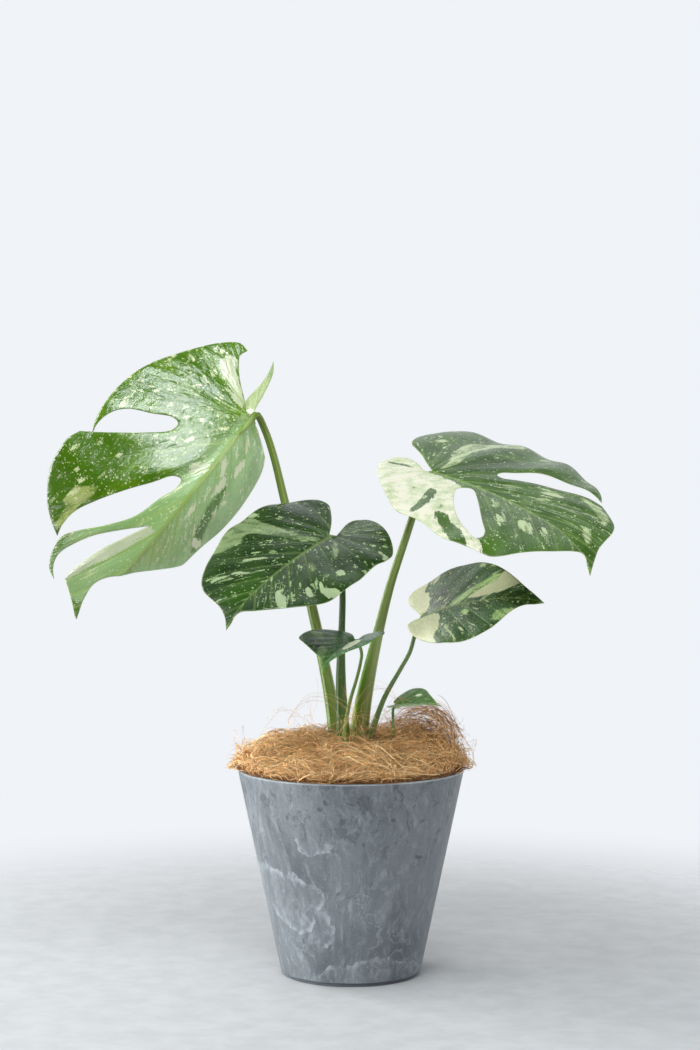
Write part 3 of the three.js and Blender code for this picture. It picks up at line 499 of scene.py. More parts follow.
# Where the side veins leave the midrib, and how far forward they run for each millimetre outwards. The
# typical ones leave at shares of the leaf's length, the others at millimetres.
TYPICAL_VEINS = [(-0.04, -1.3), (-0.02, -0.6), (0, 0), (0.03, 0.35), (0.12, 0.75), (0.24, 1.05),
                 (0.38, 1.3), (0.53, 1.5), (0.68, 1.7), (0.82, 1.9), (1, 2.2)]
VEINS = {
    "left": {
        "right_half": [(-6, -1.9), (-4, -1.3), (-2, -0.6), (0, 0), (3, 0.28), (31, 0.93), (64, 1.7),
                       (100, 2.4), (140, 3.2), (190, 3.6), (240, 4)],
        "left_half": [(-6, -1.6), (-3, -0.7), (2, 0.1), (14, 0.5), (34, 0.75), (58, 0.95), (86, 1.15),
                      (116, 1.35), (150, 1.6), (186, 1.9), (230, 2.2)],
    },
    "right": {
        "right_half": [(-8, -1.2), (-4, -0.5), (0, 0), (6, 0.4), (20, 0.8), (40, 1.12), (66, 1.3),
                       (96, 1.4), (128, 1.5), (160, 1.6), (195, 1.8)],
        "left_half": [(-5, -1), (-3, -0.5), (0, -0.15), (5, 0.5), (17, 1.1), (38, 1.9), (64, 2.4),
                      (96, 2.6), (134, 2.8), (172, 3)],
    },
}

# Variegation as seen on the leaves, outlined on the flat blade. Cream is solid, pale is a lighter green,
# deep is the darkest green, lime the most vivid, and green breaks up the cream. Streaky zones have more
# streaks, and milky zones a pale haze that is partly a paler green and partly painted sheen.
MARK_KINDS = ("streaky", "cream", "pale", "deep", "lime", "green", "milky_sheen")
MARKS = {
    "left": {
        "streaky": [
            [(10, 6), (40, 4), (100, 3), (150, 4), (170, 20), (160, 60), (130, 74), (90, 70), (50, 50),
             (20, 30)],
            [(60, -4), (90, -18), (140, -20), (140, -4), (100, -3)],
            [(-50, -84), (-20, -110), (20, -126), (60, -130), (40, -100), (0, -60), (-20, -50)],
        ],
        "cream": [
            [(-52, -57), (-54, -48), (-40, -39), (-25, -25), (-13, -16), (-6, -12), (-8, -21), (-15, -31),
             (-23, -42), (-29, -52), (-40, -58)],
            [(147, -5), (161, -8), (176, -13), (194, -20), (210, -26), (224, -29), (240, -31), (252, -33),
             (262, -38), (236, -42), (199, -36), (168, -25), (148, -14)],
            [(44, 2), (50, 4), (60, 11), (66, 18), (60, 17), (51, 11)],
            [(12, 11), (18, 14), (25, 22), (24, 27), (18, 22)],
            [(64, -5), (73, -9), (81, -15), (77, -17), (69, -12)],
            [(136, 46), (141, 50), (147, 60), (144, 66), (136, 60)],
            [(58, 24), (66, 20), (80, 21), (90, 26), (78, 29), (66, 28)],
            [(28, 31), (36, 27), (48, 29), (53, 34), (42, 35), (32, 34)],
            [(100, 14), (110, 12), (122, 15), (112, 17)],
        ],
        "pale": [
            [(148, -74), (157, -85), (166, -93), (177, -94), (188, -92), (196, -87), (206, -84), (214, -78),
             (200, -74), (187, -75), (172, -73)],
            [(182, -42), (192, -44), (206, -50), (218, -56), (206, -54), (192, -47)],
            [(-60, 3), (-4, 3), (0, 12), (-4, 30), (-60, 34)],
        ],
        "deep": [
            [(66, 34), (82, 28), (102, 30), (122, 38), (142, 52), (154, 64), (138, 62), (116, 52), (92, 44)],
        ],
        "lime": [
            [(92, -82), (112, -68), (150, -68), (215, -74), (224, -76), (216, -94), (198, -114), (175, -131),
             (150, -138), (113, -134)],
            [(18, -92), (16, -80), (24, -66), (34, -64), (38, -78), (32, -92)],
            [(-44, -90), (-30, -92), (-10, -74), (0, -54), (-12, -44), (-26, -60), (-38, -74)],
            [(-8, -122), (4, -110), (16, -104), (14, -116), (4, -126)],
        ],
        "milky_sheen": [
            [(-20, 8), (10, 70), (60, 100), (130, 100), (180, 80), (250, 20), (275, -50), (200, -62),
             (150, -34), (100, -22), (40, -8), (0, -4)],
        ],
    },
    "right": {
        "streaky": [
            [(70, -4), (96, -30), (112, -70), (150, -60), (200, -20), (230, 0), (200, 40), (150, 56),
             (100, 40), (60, 16)],
            [(-50, 50), (-20, 90), (0, 110), (-30, 110), (-60, 80)],
        ],
        "cream": [
            [(-2, -3), (16, -5), (34, -8), (52, -14), (60, -30), (78, -50), (100, -64), (120, -74),
             (136, -82), (146, -87), (156, -96), (142, -112), (100, -118), (50, -114), (0, -98), (-44, -62),
             (-80, -20), (-78, 12), (-50, 28), (-20, 12)],
        ],
        "pale": [
            [(141, -23), (150, -20), (159, -26), (167, -33), (158, -36), (148, -32)],
            [(118, -34), (124, -33), (134, -39), (130, -43), (121, -39)],
            [(186, 25), (193, 28), (205, 19), (206, 13), (196, 16)],
            [(98, -12), (102, -13), (107, -21), (103, -23)],
            [(78, 19), (88, 21), (97, 29), (92, 30), (82, 24)], [(121, 22), (127, 24), (133, 31), (126, 29)],
            [(-48, 60), (-40, 66), (-38, 78), (-46, 74)],
            [(6, 10), (2, 24), (-6, 40), (-14, 56), (-20, 74), (-22, 92), (-8, 110), (8, 120), (22, 122),
             (26, 110), (14, 98), (5, 84), (3, 66), (7, 44), (12, 26)],
            [(114, 38), (126, 40), (138, 47), (128, 49), (118, 44)],
            [(164, -13), (170, -12), (177, -19), (172, -21)],
            [(150, 60), (168, 56), (186, 52), (196, 46), (192, 58), (172, 66)],
        ],
        "deep": [[(12, 16), (14, 34), (20, 56), (34, 74), (60, 84), (70, 74), (52, 46), (40, 26)]],
        "lime": [[(138, -74), (148, -64), (164, -66), (166, -80), (156, -90), (144, -86)]],
        "green": [
            [(34, -38), (42, -40), (50, -52), (55, -64), (58, -80), (56, -92), (50, -88), (46, -76),
             (42, -64), (37, -53)],
            [(74, -74), (84, -71), (96, -77), (106, -82), (114, -84), (124, -91), (134, -96), (144, -101),
             (136, -106), (122, -105), (110, -98), (98, -90), (84, -86)],
            [(-48, -6), (-40, -3), (-28, 0), (-20, -4), (-30, -5), (-42, -8)],
            [(0, -72), (8, -82), (14, -90), (8, -90), (-2, -80)],
        ],
    },
    "centre": {
        "streaky": [
            [(58, -10), (56, -34), (80, -46), (112, -50), (146, -44), (158, -20), (140, 20), (116, 50),
             (92, 66), (74, 50), (78, 20), (84, 4)],
            [(24, -8), (24, -40), (44, -60), (48, -40), (34, -20)],
        ],
        "cream": [
            [(82, 48), (87, 56), (84, 70), (92, 75), (98, 66), (97, 56), (90, 50)],
            [(112, 23), (118, 26), (124, 35), (136, 41), (138, 34), (128, 26), (118, 20)],
            [(54, 50), (60, 50), (63, 57), (57, 59)], [(96, 42), (101, 43), (109, 52), (103, 54)],
            [(12, -86), (16, -78), (22, -80), (20, -88)],
            [(76, -20), (86, -27), (97, -35), (92, -37), (80, -27)],
            [(108, -20), (114, -25), (120, -31), (114, -32)],
            [(124, -31), (132, -36), (141, -41), (132, -42)], [(4, 58), (9, 66), (15, 73), (8, 74)],
        ],
        "pale": [
            [(14, -2), (22, -22), (24, -42), (24, -62), (22, -78), (30, -94), (60, -98), (92, -90),
             (110, -77), (100, -66), (84, -60), (70, -58), (60, -60), (50, -56), (42, -42), (34, -24),
             (24, -8)],
            [(10, 9), (20, 17), (34, 27), (39, 33), (28, 28), (16, 18)],
            [(58, 18), (66, 23), (73, 31), (66, 30)],
        ],
        "deep": [
            [(40, -38), (56, -52), (76, -50), (92, -40), (84, -28), (64, -28), (48, -26)],
            [(-44, -50), (-26, -70), (0, -78), (16, -72), (14, -50), (0, -30), (-20, -34)],
        ],
        "lime": [[(100, -14), (120, -20), (150, -24), (160, -10), (140, 0), (116, 0)]],
    },
    "lower_right": {
        "streaky": [
            [(30, 20), (60, 40), (90, 46), (60, 60), (20, 50)], [(50, -20), (90, -26), (80, -44), (50, -44)],
        ],
        "cream": [
            [(0, -2), (20, -3), (30, -8), (34, -17), (37, -28), (35, -38), (41, -46), (40, -62), (-20, -62),
             (-44, -10), (-14, 4)],
            [(0, 1), (8, 4), (9, 12), (5, 22), (0, 30), (-7, 34), (-9, 44), (-20, 62), (-54, 50), (-48, 10),
             (-12, -2)],
            [(60, 7), (74, 5), (86, 6), (100, 9), (114, 15), (126, 25), (114, 42), (102, 40), (94, 31),
             (90, 23), (80, 17), (70, 12)],
            [(2, 41), (8, 43), (8, 50), (2, 49)],
        ],
        "pale": [
            [(40, 2), (56, 4), (66, 9), (76, 14), (88, 20), (96, 28), (88, 33), (76, 26), (64, 18),
             (52, 12)],
            [(102, -17), (124, -14), (116, -26), (104, -28)], [(44, -27), (50, -26), (52, -31), (46, -32)],
            [(60, -10), (68, -10), (69, -16), (62, -16)],
        ],
        "deep": [
            [(96, 6), (120, 10), (146, 0), (136, -8), (112, -8)], [(14, 6), (34, 8), (26, 30), (10, 30)],
        ],
        "lime": [[(84, 22), (92, 24), (94, 29), (86, 29)]],
    },
    "front": {
        "streaky": [[(40, -30), (60, -12), (84, -4), (92, 0), (70, -20), (50, -40)]],
        "cream": [[(6, 1), (12, 12), (24, 15), (36, 11), (38, 6), (28, 2), (16, 0)]],
        "pale": [
            [(34, -18), (44, -17), (56, -12), (66, -8), (60, -4), (50, -7), (40, -10)],
            [(66, -8), (76, -5), (92, -2), (96, 1), (84, -1), (74, -9)],
            [(8, -46), (14, -40), (16, -30), (12, -28), (6, -38)],
        ],
        "deep": [[(20, -40), (34, -34), (48, -18), (40, -14), (24, -28)]],
    },
    "small": {
        "cream": [[(18, 12), (24, 11), (26, 14), (20, 15)]],
        "pale": [[(8, -4), (24, -5), (40, -3), (32, -9), (16, -12)]],
    },
}

# Screen colours of each leaf, then how thickly it is speckled and streaked, how green its cream is, how
# plain its side veins are, how much it shines and how much light it lets through
# The milky colour is partly a paler green and partly painted sheen
USUAL_LOOK = {"lime": (66, 106, 2), "milky_sheen": (110, 140, 90)}
LOOKS = {
    "left": {
        "dark": (72, 118, 0), "light": (98, 142, 6), "lime": (74, 118, 0), "milky_sheen": (168, 206, 136),
        "pale": (184, 198, 112), "cream": (212, 220, 184), "fleck": (226, 234, 178), "deep": (80, 136, 4),
        "specks": 1.1, "streaks": 0.75, "mottle": 0.25, "veins": 0.5, "shine": 1, "glow": 0.2},
    "right": {
        "dark": (46, 78, 10), "light": (74, 106, 42), "pale": (186, 202, 152), "cream": (226, 224, 200),
        "fleck": (186, 204, 154), "deep": (38, 70, 2),
        "specks": 0.6, "streaks": 0.35, "mottle": 0.6, "veins": 0.12, "shine": 0.55, "glow": 0.1},
    "centre": {
        "dark": (18, 46, 0), "light": (36, 66, 6), "lime": (40, 78, 0), "pale": (128, 148, 100),
        "cream": (150, 168, 128), "fleck": (154, 180, 124), "deep": (24, 52, 0),
        "specks": 0.5, "streaks": 0.5, "mottle": 0.5, "veins": 0.07, "shine": 0.6, "glow": 0.06},
    "lower_right": {
        "dark": (34, 62, 20), "light": (64, 92, 52), "lime": (110, 140, 60), "pale": (160, 188, 122),
        "cream": (184, 185, 147), "fleck": (184, 196, 146), "deep": (30, 58, 6),
        "specks": 0.75, "streaks": 0.5, "mottle": 0.1, "veins": 0.06, "shine": 0.4, "glow": 0.1},
    "front": {
        "dark": (30, 78, 28), "light": (64, 116, 50), "pale": (150, 178, 116), "cream": (232, 236, 206),
        "fleck": (150, 174, 128), "deep": (30, 58, 20),
        "specks": 0.5, "streaks": 0.6, "mottle": 0.3, "veins": 0.06, "shine": 0.2, "glow": 0.08},
    "small": {
        "dark": (48, 86, 18), "light": (72, 110, 44), "pale": (130, 160, 100), "cream": (196, 208, 170),
        "fleck": (150, 178, 112), "deep": (38, 70, 12),
        "specks": 0.15, "streaks": 0.12, "mottle": 0.1, "veins": 0.06, "shine": 0.5, "glow": 0.1},
}


# The bent blade
def arc_end(length, turn_per_length):
    """How far along, how far up and how far turned the end of an arc is that starts straight ahead."""
    turn = length * turn_per_length
    if turn_per_length == 0:
        return length, 0 * length, turn
    return np.sin(turn) / turn_per_length, (1 - np.cos(turn)) / turn_per_length, turn


def leaf_frame(leaf):
    """The leaf's own directions as rows: along the midrib, to its left, and up."""
    heading, pitch, roll = (math.radians(leaf[key]) for key in ("heading", "pitch", "roll"))
    along = Vector((math.cos(pitch) * math.cos(heading), math.cos(pitch) * math.sin(heading),
                    math.sin(pitch)))
    side = Vector((-math.sin(heading), math.cos(heading), 0))
    side.rotate(Quaternion(along, roll))
    return np.array([along, side, along.cross(side)])


def bent(leaf, x, y):
    """Where points of the flat blade lie on the bent one."""
    x, y = np.asarray(x, float), np.asarray(y, float)
    body_end = BODY_SHARE * leaf["length"]
    along, up, turn = arc_end(np.clip(x, 0, body_end), -leaf["droop"] * PER_100_MM)
    tip_along, tip_up, tip_turn = arc_end(np.clip(x - body_end, 0, None), -leaf["tip_droop"] * PER_100_MM)
    back_along, back_up, back_turn = arc_end(np.clip(-x, 0, None), -leaf["back_droop"] * PER_100_MM)
    along, up = (along + tip_along * np.cos(turn) - tip_up * np.sin(turn),
                 up + tip_along * np.sin(turn) + tip_up * np.cos(turn))
    turn = np.where(x < 0, -back_turn, turn + tip_turn)
    along = np.where(x < 0, -back_along, along)
    up = np.where(x < 0, back_up, up)
    left = y > 0
    twist = np.where(left, leaf["lobe_twist"] * smooth_step(3, 16, -x), 0)
    fold = np.radians(np.where(left, leaf["fold_left"], leaf["fold_right"]) + twist)
    out, lift = np.where(left, arc_end(abs(y), leaf["curl_left"] * PER_100_MM)[:2],
                         arc_end(abs(y), leaf["curl_right"] * PER_100_MM)[:2])
    reach = np.minimum(1, abs(y) / (0.4 * leaf["length"]))
    wave = leaf["wave"] * reach**2 * np.sin(2 * math.pi * x / leaf["wave_length"] + np.where(left, 0, 1.7))
    rise = out * np.sin(fold) + lift * np.cos(fold) + wave
    sweep = 0.5 * leaf["sweep"] * PER_100_MM * np.clip(x, 0, None) ** 2
    across = np.where(left, 1, -1) * (out * np.cos(fold) - lift * np.sin(fold)) + sweep
    own = np.stack([along - rise * np.sin(turn), across, up + rise * np.cos(turn)], -1)
    return own @ leaf_frame(leaf) + np.array(leaf["base"])


def bent_normal(leaf, x, y):
    step = 0.5
    side = np.where(abs(y) < 1, 1, step)
    dx = bent(leaf, x + step, y) - bent(leaf, x - step, y)
    dy = bent(leaf, x, y + side) - bent(leaf, x, y - side)
    normal = np.cross(dx, dy)
    return normal / np.linalg.norm(normal, axis=-1)[..., None]


# The flat blade
def leaf_outline(leaf, step):
    """The margin of the flat blade, with its corners kept sharp."""
    runs = leaf["runs"]
    joined = [runs[0]] + [[before[-1]] + run for before, run in zip(runs, runs[1:])]
    return np.vstack([spline(run, step) for run in joined] + [runs[-1][-1:]])


def on_blade(points, loops):
    """Which flat points lie inside the outline, the first loop, and in none of its holes."""
    found = inside(points, loops[0])
    for hole in loops[1:]:
        found &= ~inside(points, hole)
    return found


def flat_mesh(leaf, spacing):
    """Points and triangles over the flat blade: along the margin, along the midrib, and a staggered grid."""
    loops = [leaf_outline(leaf, spacing)]
    loops += [spline(hole, spacing, closed=True) for hole in leaf.get("holes", [])]
    length = leaf["length"]
    rows = np.arange(-BLADE_REACH, BLADE_REACH + 1, spacing * 0.866)
    columns = np.arange(-LOBE_REACH, length * 1.05, spacing)
    grid_x, grid_y = np.meshgrid(columns, rows)
    grid_x[::2] += spacing / 2
    grid = np.stack([grid_x.ravel(), grid_y.ravel()], 1)
    rib_rows = np.linspace(-RIB_HALF_WIDTH, RIB_HALF_WIDTH, 5)
    grid = grid[~((abs(grid[:, 1]) < RIB_HALF_WIDTH + spacing * 0.6) & (grid[:, 0] > 0))]
    rib_x = np.arange(2, length * 0.97, spacing)
    rib = np.stack([a.ravel() for a in np.meshgrid(rib_x, rib_rows)], 1)
    inner = np.vstack([grid, rib])
    inner = inner[on_blade(inner, loops)]
    inner = inner[distance_to(inner, loops) > spacing * 0.45]
    edges = []
    first = 0
    for loop in loops:
        edges += [(first + i, first + (i + 1) % len(loop)) for i in range(len(loop))]
        first += len(loop)
    points = np.vstack(loops + [inner])
    made = delaunay_2d_cdt([Vector(p) for p in points], edges, [], 0, 1e-4)
    points = np.array([tuple(p) for p in made[0]])
    faces = np.array([tuple(f) for f in made[2]])
    return points, faces[on_blade(points[faces].mean(axis=1), loops)], loops


def vein_places(leaf, x, y):
    """Where each point lies among the side veins, which are at whole numbers, and their spacing there."""
    length = leaf["length"]
    typical = [(share * length, slope) for share, slope in TYPICAL_VEINS]
    halves = VEINS.get(leaf["name"], {"left_half": typical, "right_half": typical})
    places = np.zeros(len(x))
    spacings = np.ones(len(x))
    for key, chosen in (("left_half", y > 0), ("right_half", y <= 0)):
        starts, slopes = np.array(halves[key]).T
        out = abs(y[chosen])[:, None]
        at = starts + slopes * out + VEIN_BEND * out**2 / length
        k = np.clip((at <= x[chosen][:, None]).sum(axis=1) - 1, 0, len(starts) - 2)
        row = np.arange(len(k))
        gap = np.maximum(at[row, k + 1] - at[row, k], 0.5)
        places[chosen] = np.clip(k + (x[chosen] - at[row, k]) / gap, -1.5, len(starts) + 0.5)
        spacings[chosen] = gap / np.sqrt(1 + slopes[k] ** 2)
    return places, spacings


def blade_piece(leaf, spacing):
    """The blade with its midrib, side veins, the swelling between them, and the under side's keel."""
    points, faces, loops = flat_mesh(leaf, spacing)
    x, y = points.T
    length = leaf["length"]
    margin = distance_to(points, loops)
    places, spacings = vein_places(leaf, x, y)
    out = abs(y)
    outlines = MARKS[leaf["name"]]
    marks = {kind: signed_distance(points, outlines.get(kind, [])) for kind in MARK_KINDS}
    marks["cream"] = np.maximum(marks["cream"], -marks.pop("green"))
    smooth_half = 0.75 * smooth_step(-10, 10, -marks["milky_sheen"])
    swelling = ((1 - smooth_half) * QUILT_SHARE * np.minimum(spacings, 45) * np.sin(math.pi * places) ** 2
                * smooth_step(3, 16, out) * smooth_step(0, 9, margin) * smooth_step(3, 12, spacings))
    along_rib = np.clip(1 - x / length, 0, 1) * smooth_step(-2, 4, x)
    channel = -0.5 * along_rib * (1 - smooth_step(0.8, RIB_HALF_WIDTH, out))
    keel = leaf["keel"] * along_rib * (1 - smooth_step(0.5, RIB_HALF_WIDTH, out)) * smooth_step(6, 16, x)
    half = leaf["thickness"] / 2 * (0.45 + 0.55 * smooth_step(0, 3, margin))
    normals = bent_normal(leaf, x, y)
    middle = bent(leaf, x, y)
    top = middle + normals * (half + swelling + channel)[:, None]
    under = middle + normals * (swelling - half - keel)[:, None]
    count = len(points)
    a, b, c = faces.T
    directed = set(zip(np.concatenate([a, b, c]).tolist(), np.concatenate([b, c, a]).tolist()))
    rim = [(p, q) for p, q in directed if (q, p) not in directed]
    all_faces = (faces.tolist() + (faces[:, ::-1] + count).tolist()
                 + [(q, p, p + count, q + count) for p, q in sorted(rim)])
    values = {"flat": np.stack([x, y, 0 * x], 1), "place": places, "spacing": spacings, "margin": margin,
              **marks}
    twice = {key: np.concatenate([value, value]) for key, value in values.items()}
    twice["under"] = np.concatenate([np.zeros(count), np.ones(count)])
    piece = make_piece("leaf_" + leaf["name"], np.vstack([top, under]), all_faces, twice)
    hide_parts("blade_" + leaf["name"])
    return piece


# Leaf stalks
def stalk_line(leaf):
    """The stalk's middle line, which ends along the start of the midrib, under the blade or over it."""
    stalk = leaf["stalk"]
    top_radius = stalk["radii"][-1]
    over = stalk.get("over", False)
    roof_fold = 0 if over else min(0, leaf["fold_left"]) + min(0, leaf["fold_right"])
    clear = top_radius + leaf["thickness"] / 2 + STALK_GAP
    depth = clear / math.cos(math.radians(roof_fold) / 2) + 0.1
    lean = math.radians(leaf["fold_left"] - leaf["fold_right"]) / 2
    side = 1 if over else -1
    axes, base = leaf_frame(leaf), np.array(leaf["base"])

    def beside(x, away):
        return np.array([x, -side * away * math.sin(lean), side * away * math.cos(lean)]) @ axes + base

    ends = [beside(-1.6 * top_radius, depth + 0.35 * top_radius), beside(5, depth + 0.2),
            beside(5 + 5 * top_radius, depth - 0.9 * top_radius)]
    points = np.vstack([np.array(stalk["path"], float), ends])
    curve = np.vstack([spline(points, 3), points[-1:]])
    return evenly(curve, STALK_RINGS)


def stalk_piece(leaf):
    stalk = leaf["stalk"]
    points = stalk_line(leaf)
    across, other = travel_frames(points)
    t = np.linspace(0, 1, STALK_RINGS)[:, None]
    angle = round_angles(STALK_SIDES)[None, :]
    radii = stalk["radii"]
    plain = np.interp(t, np.linspace(0, 0.97, len(radii)), radii) * (1 - 0.75 * smooth_step(0.955, 1, t))
    sheath = stalk["sheath"]
    turn = np.cos(angle - math.radians(sheath["angle"]))
    wing = np.clip(turn, 0, None) ** 10 * sheath["height"] * (1 - smooth_step(0.06, sheath["to"], t))
    groove = -0.1 * plain * np.exp(-((angle - math.radians(GROOVE_ANGLE)) / 0.3) ** 2) * (1 - t)
    ridges = 0.012 * plain * np.cos(9 * angle + 2 * t)
    radius = plain + wing + groove + ridges
    ring = (points[:, None] + across[:, None] * (radius * np.cos(angle))[..., None]
            + other[:, None] * (radius * np.sin(angle))[..., None])
    faces = ring_faces(STALK_RINGS, STALK_SIDES).tolist()
    last = (STALK_RINGS - 1) * STALK_SIDES
    faces.append(list(range(STALK_SIDES))[::-1])
    faces.append([last + j for j in range(STALK_SIDES)])
    values = {
        "along": np.repeat(t.ravel(), STALK_SIDES),
        "round_x": np.tile(np.cos(angle).ravel(), STALK_RINGS),
        "round_y": np.tile(np.sin(angle).ravel(), STALK_RINGS),
        "wing": (wing / max(sheath["height"], 1)).ravel()}
    piece = make_piece("stalk_" + leaf["name"], ring.reshape(-1, 3), faces, values)
    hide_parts("petiole_" + leaf["name"])
    return piece


# The fibre mat
def mat_height(x, y):
    from_middle = np.hypot(x, y) / MAT_REACH
    height = POT_HEIGHT + 3 + MAT_RISE * (1 - from_middle**2)
    for across, deep, rise, spread in MAT_HEAPS:
        height = height + rise * np.exp(-((x - across) ** 2 + (y - deep) ** 2) / spread)
    return height


def in_front(x, y):
    """Goes from nought at the sides and the back to one at the front."""
    return smooth_step(0, 0.35, -y / np.maximum(np.hypot(x, y), 1))


def keep_inside_rim(line):
    """Each fibre ends at its own distance, mostly inside the rim at the front, and lies over the rim."""
    x, y, z = np.moveaxis(line, -1, 0)
    front = in_front(x, y)
    chance = rng.uniform(0, 1, (len(line), 1))
    reach = (106 + 16 * chance**3) * (1 - front) + (103 + 3 * chance + 6 * chance**12) * front
    share = np.minimum(1, reach / np.maximum(np.hypot(x, y), 1))
    over_rim = POT_HEIGHT + 0.8 + 1.6 * (1 - front)
    low = np.where(np.hypot(x, y) * share > MAT_EDGE, over_rim, POT_HEIGHT - 6)
    return np.stack([x * share, y * share, np.maximum(z, low)], -1)


def spread_over_mat(count, furthest):
    """Places all over the mat, as x and y, and the angle that each lies at."""
    place = rng.uniform(0, 2 * math.pi, count)
    away = furthest * np.sqrt(rng.uniform(0, 1, count))
    return around(away, place, 0)[:, :2], place


def arch(steps):
    """Rises from nought to one and falls again along a fibre."""
    return np.sin(math.pi * np.linspace(0, 1, steps))[None, :]


def wander(start, heading, length, bend, steps):
    """Level paths that curl as they go, as x and y of each point."""
    share = np.linspace(0, 1, steps)
    turn = heading[:, None] + bend[:, 0:1] * share + bend[:, 1:2] * np.sin(5 * share)
    step = (length / (steps - 1))[:, None]
    return (start[:, i:i + 1] + np.cumsum(np.insert(way(turn[:, 1:]) * step, 0, 0, axis=1), axis=1)
            for i, way in enumerate((np.cos, np.sin)))


def shed(lines, count, spread, curl):
    """Several fibres along each line, which fan out and curl a little."""
    steps = lines.shape[1]
    many = np.repeat(lines, count, axis=0)
    amount = len(many)
    share = np.linspace(0, 1, steps)[None, :, None]
    fan = rng.normal(0, 1, (2, amount, 1, 3)) * np.asarray(spread)
    waves = np.sin(rng.uniform(3, 9, (amount, 1, 3)) * share + rng.uniform(0, 6, (amount, 1, 3)))
    return many + fan[0] * (1 - share) + fan[1] * share + curl * waves * rng.normal(0, 1, (amount, 1, 3))


def lying_clumps(clumps, count, steps=9):
    """Strands of the mat: fibres that lie together in long loose arcs."""
    start, place = spread_over_mat(clumps, 108)
    heading = place + rng.normal(math.pi / 2, 1.5, clumps) * rng.choice([-1, 1], clumps)
    bend = rng.normal(0, [1.8, 0.8], (clumps, 2))
    x, y = wander(start, heading, rng.uniform(30, 95, clumps), bend, steps)
    depth = rng.uniform(-4, 1, clumps)[:, None]
    lift = np.abs(rng.normal(0, 7, clumps))[:, None]
    middle = np.stack([x, y, depth + lift * arch(steps)], -1)
    lines = shed(middle, count, (6, 6, 2.4), 2.2)
    lines[..., 2] += mat_height(lines[..., 0], lines[..., 1])
    return keep_inside_rim(lines)


def lying_fibres(count, steps=7):
    """Single fibres that fill the mat between its strands."""
    start, place = spread_over_mat(count, 112)
    heading = place + rng.normal(math.pi / 2, 0.9, count) * rng.choice([-1, 1], count)
    x, y = wander(start, heading, rng.uniform(16, 48, count), rng.normal(0, [1.4, 0.5], (count, 2)), steps)
    depth = rng.uniform(-4, 0.8, count)[:, None]
    lift = np.abs(rng.normal(0, 3, count))[:, None]
    return keep_inside_rim(np.stack([x, y, mat_height(x, y) + depth + lift * arch(steps)], -1))


def stray_fibres(count, steps=10):
    """Springy loops that stand out of the mat, the most of them on the heap at the right."""
    start, _ = spread_over_mat(count, 106)
    on_heap = rng.uniform(0, 1, count) < 0.4
    start[on_heap] = rng.normal((68, 6), (20, 26), (on_heap.sum(), 2))
    by_stalks = rng.uniform(0, 1, count) < 0.15
    start[by_stalks] = rng.normal((0, -34), (26, 10), (by_stalks.sum(), 2))
    heading = rng.uniform(0, 2 * math.pi, count)
    x, y = wander(start, heading, rng.uniform(22, 70, count), rng.normal(0, [2.2, 0.8], (count, 2)), steps)
    share = np.linspace(0, 1, steps)[None, :]
    lift = (np.abs(rng.normal(0, 8, count)) + 2 + 4 * on_heap + 5 * by_stalks)[:, None]
    ground = mat_height(start[:, 0:1], start[:, 1:2]) - 3
    z = ground + lift * (np.sin(math.pi * share * rng.uniform(0.6, 1, count)[:, None]) + 0.3 * share)
    return keep_inside_rim(np.stack([x, y, z], -1))


def rim_wisps(count, steps=8):
    """Fibres that lean out over the rim at the sides and the back."""
    place = rng.uniform(-0.25, math.pi + 0.25, count)
    share = np.linspace(0, 1, steps)[None, :]
    away = 90 + rng.uniform(16, 34, count)[:, None] * share
    turn = place[:, None] + rng.normal(0, 0.3, count)[:, None] * share**2
    rise = rng.uniform(2, 15, count)[:, None] + rng.normal(2, 7, count)[:, None] * share
    z = POT_HEIGHT + rise - rng.uniform(0, 9, count)[:, None] * share**2
    return around(away, turn, np.maximum(z, POT_HEIGHT + 2))


def path_fibres(path, count, spread, curl, steps=14):
    """Fibres that follow a path together and stop at different places."""
    path = np.array(path, float)
    middle = evenly(np.vstack([spline(path, 3), path[-1:]]), 4 * steps)
    begin = rng.uniform(0, 0.35, (count, 1))
    end = rng.uniform(0.6, 1, (count, 1))
    share = begin + (end - begin) * np.linspace(0, 1, steps)
    along = np.linspace(0, 1, len(middle))
    lines = np.stack([np.interp(share, along, middle[:, k]) for k in range(3)], -1)
    return shed(lines, 1, spread, curl)


def fibre_piece(name, lines, thin, thick, darker):
    """Fibres as three-sided tapering tubes. Lines holds the points of each fibre."""
    count, steps, _ = lines.shape
    tangents = np.gradient(lines, axis=1)
    tangents /= np.linalg.norm(tangents, axis=2)[..., None] + 1e-9
    across = np.cross(tangents, np.array([0.31, 0.22, 0.92]))
    across /= np.linalg.norm(across, axis=2)[..., None] + 1e-9
    other = np.cross(tangents, across)
    taper = 1 - 0.7 * np.linspace(-1, 1, steps) ** 4
    radii = rng.uniform(thin, thick, count) * np.where(rng.uniform(0, 1, count) > 0.97, 1.6, 1)
    half = (radii[:, None] * taper)[..., None, None]
    angle = round_angles(3)[:, None]
    round_it = across[:, :, None] * np.cos(angle) + other[:, :, None] * np.sin(angle)
    ring = lines[:, :, None] + half * round_it
    faces = ring_faces(steps, 3)[None] + (np.arange(count) * steps * 3)[:, None, None]
    sunk = mat_height(lines[..., 0], lines[..., 1]) - lines[..., 2]
    # Painted shade: fibres darken the deeper they lie under the top of the mat
    shade = rng.beta(1.8, 1.6, count)[:, None] - 0.65 * smooth_step(-1, 5, sunk) - darker
    values = {"shade": np.repeat(shade.ravel(), 3)}
    piece = make_piece(name, ring.reshape(-1, 3), faces.reshape(-1, 4), values)
    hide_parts("coir_mulch")
    return piece


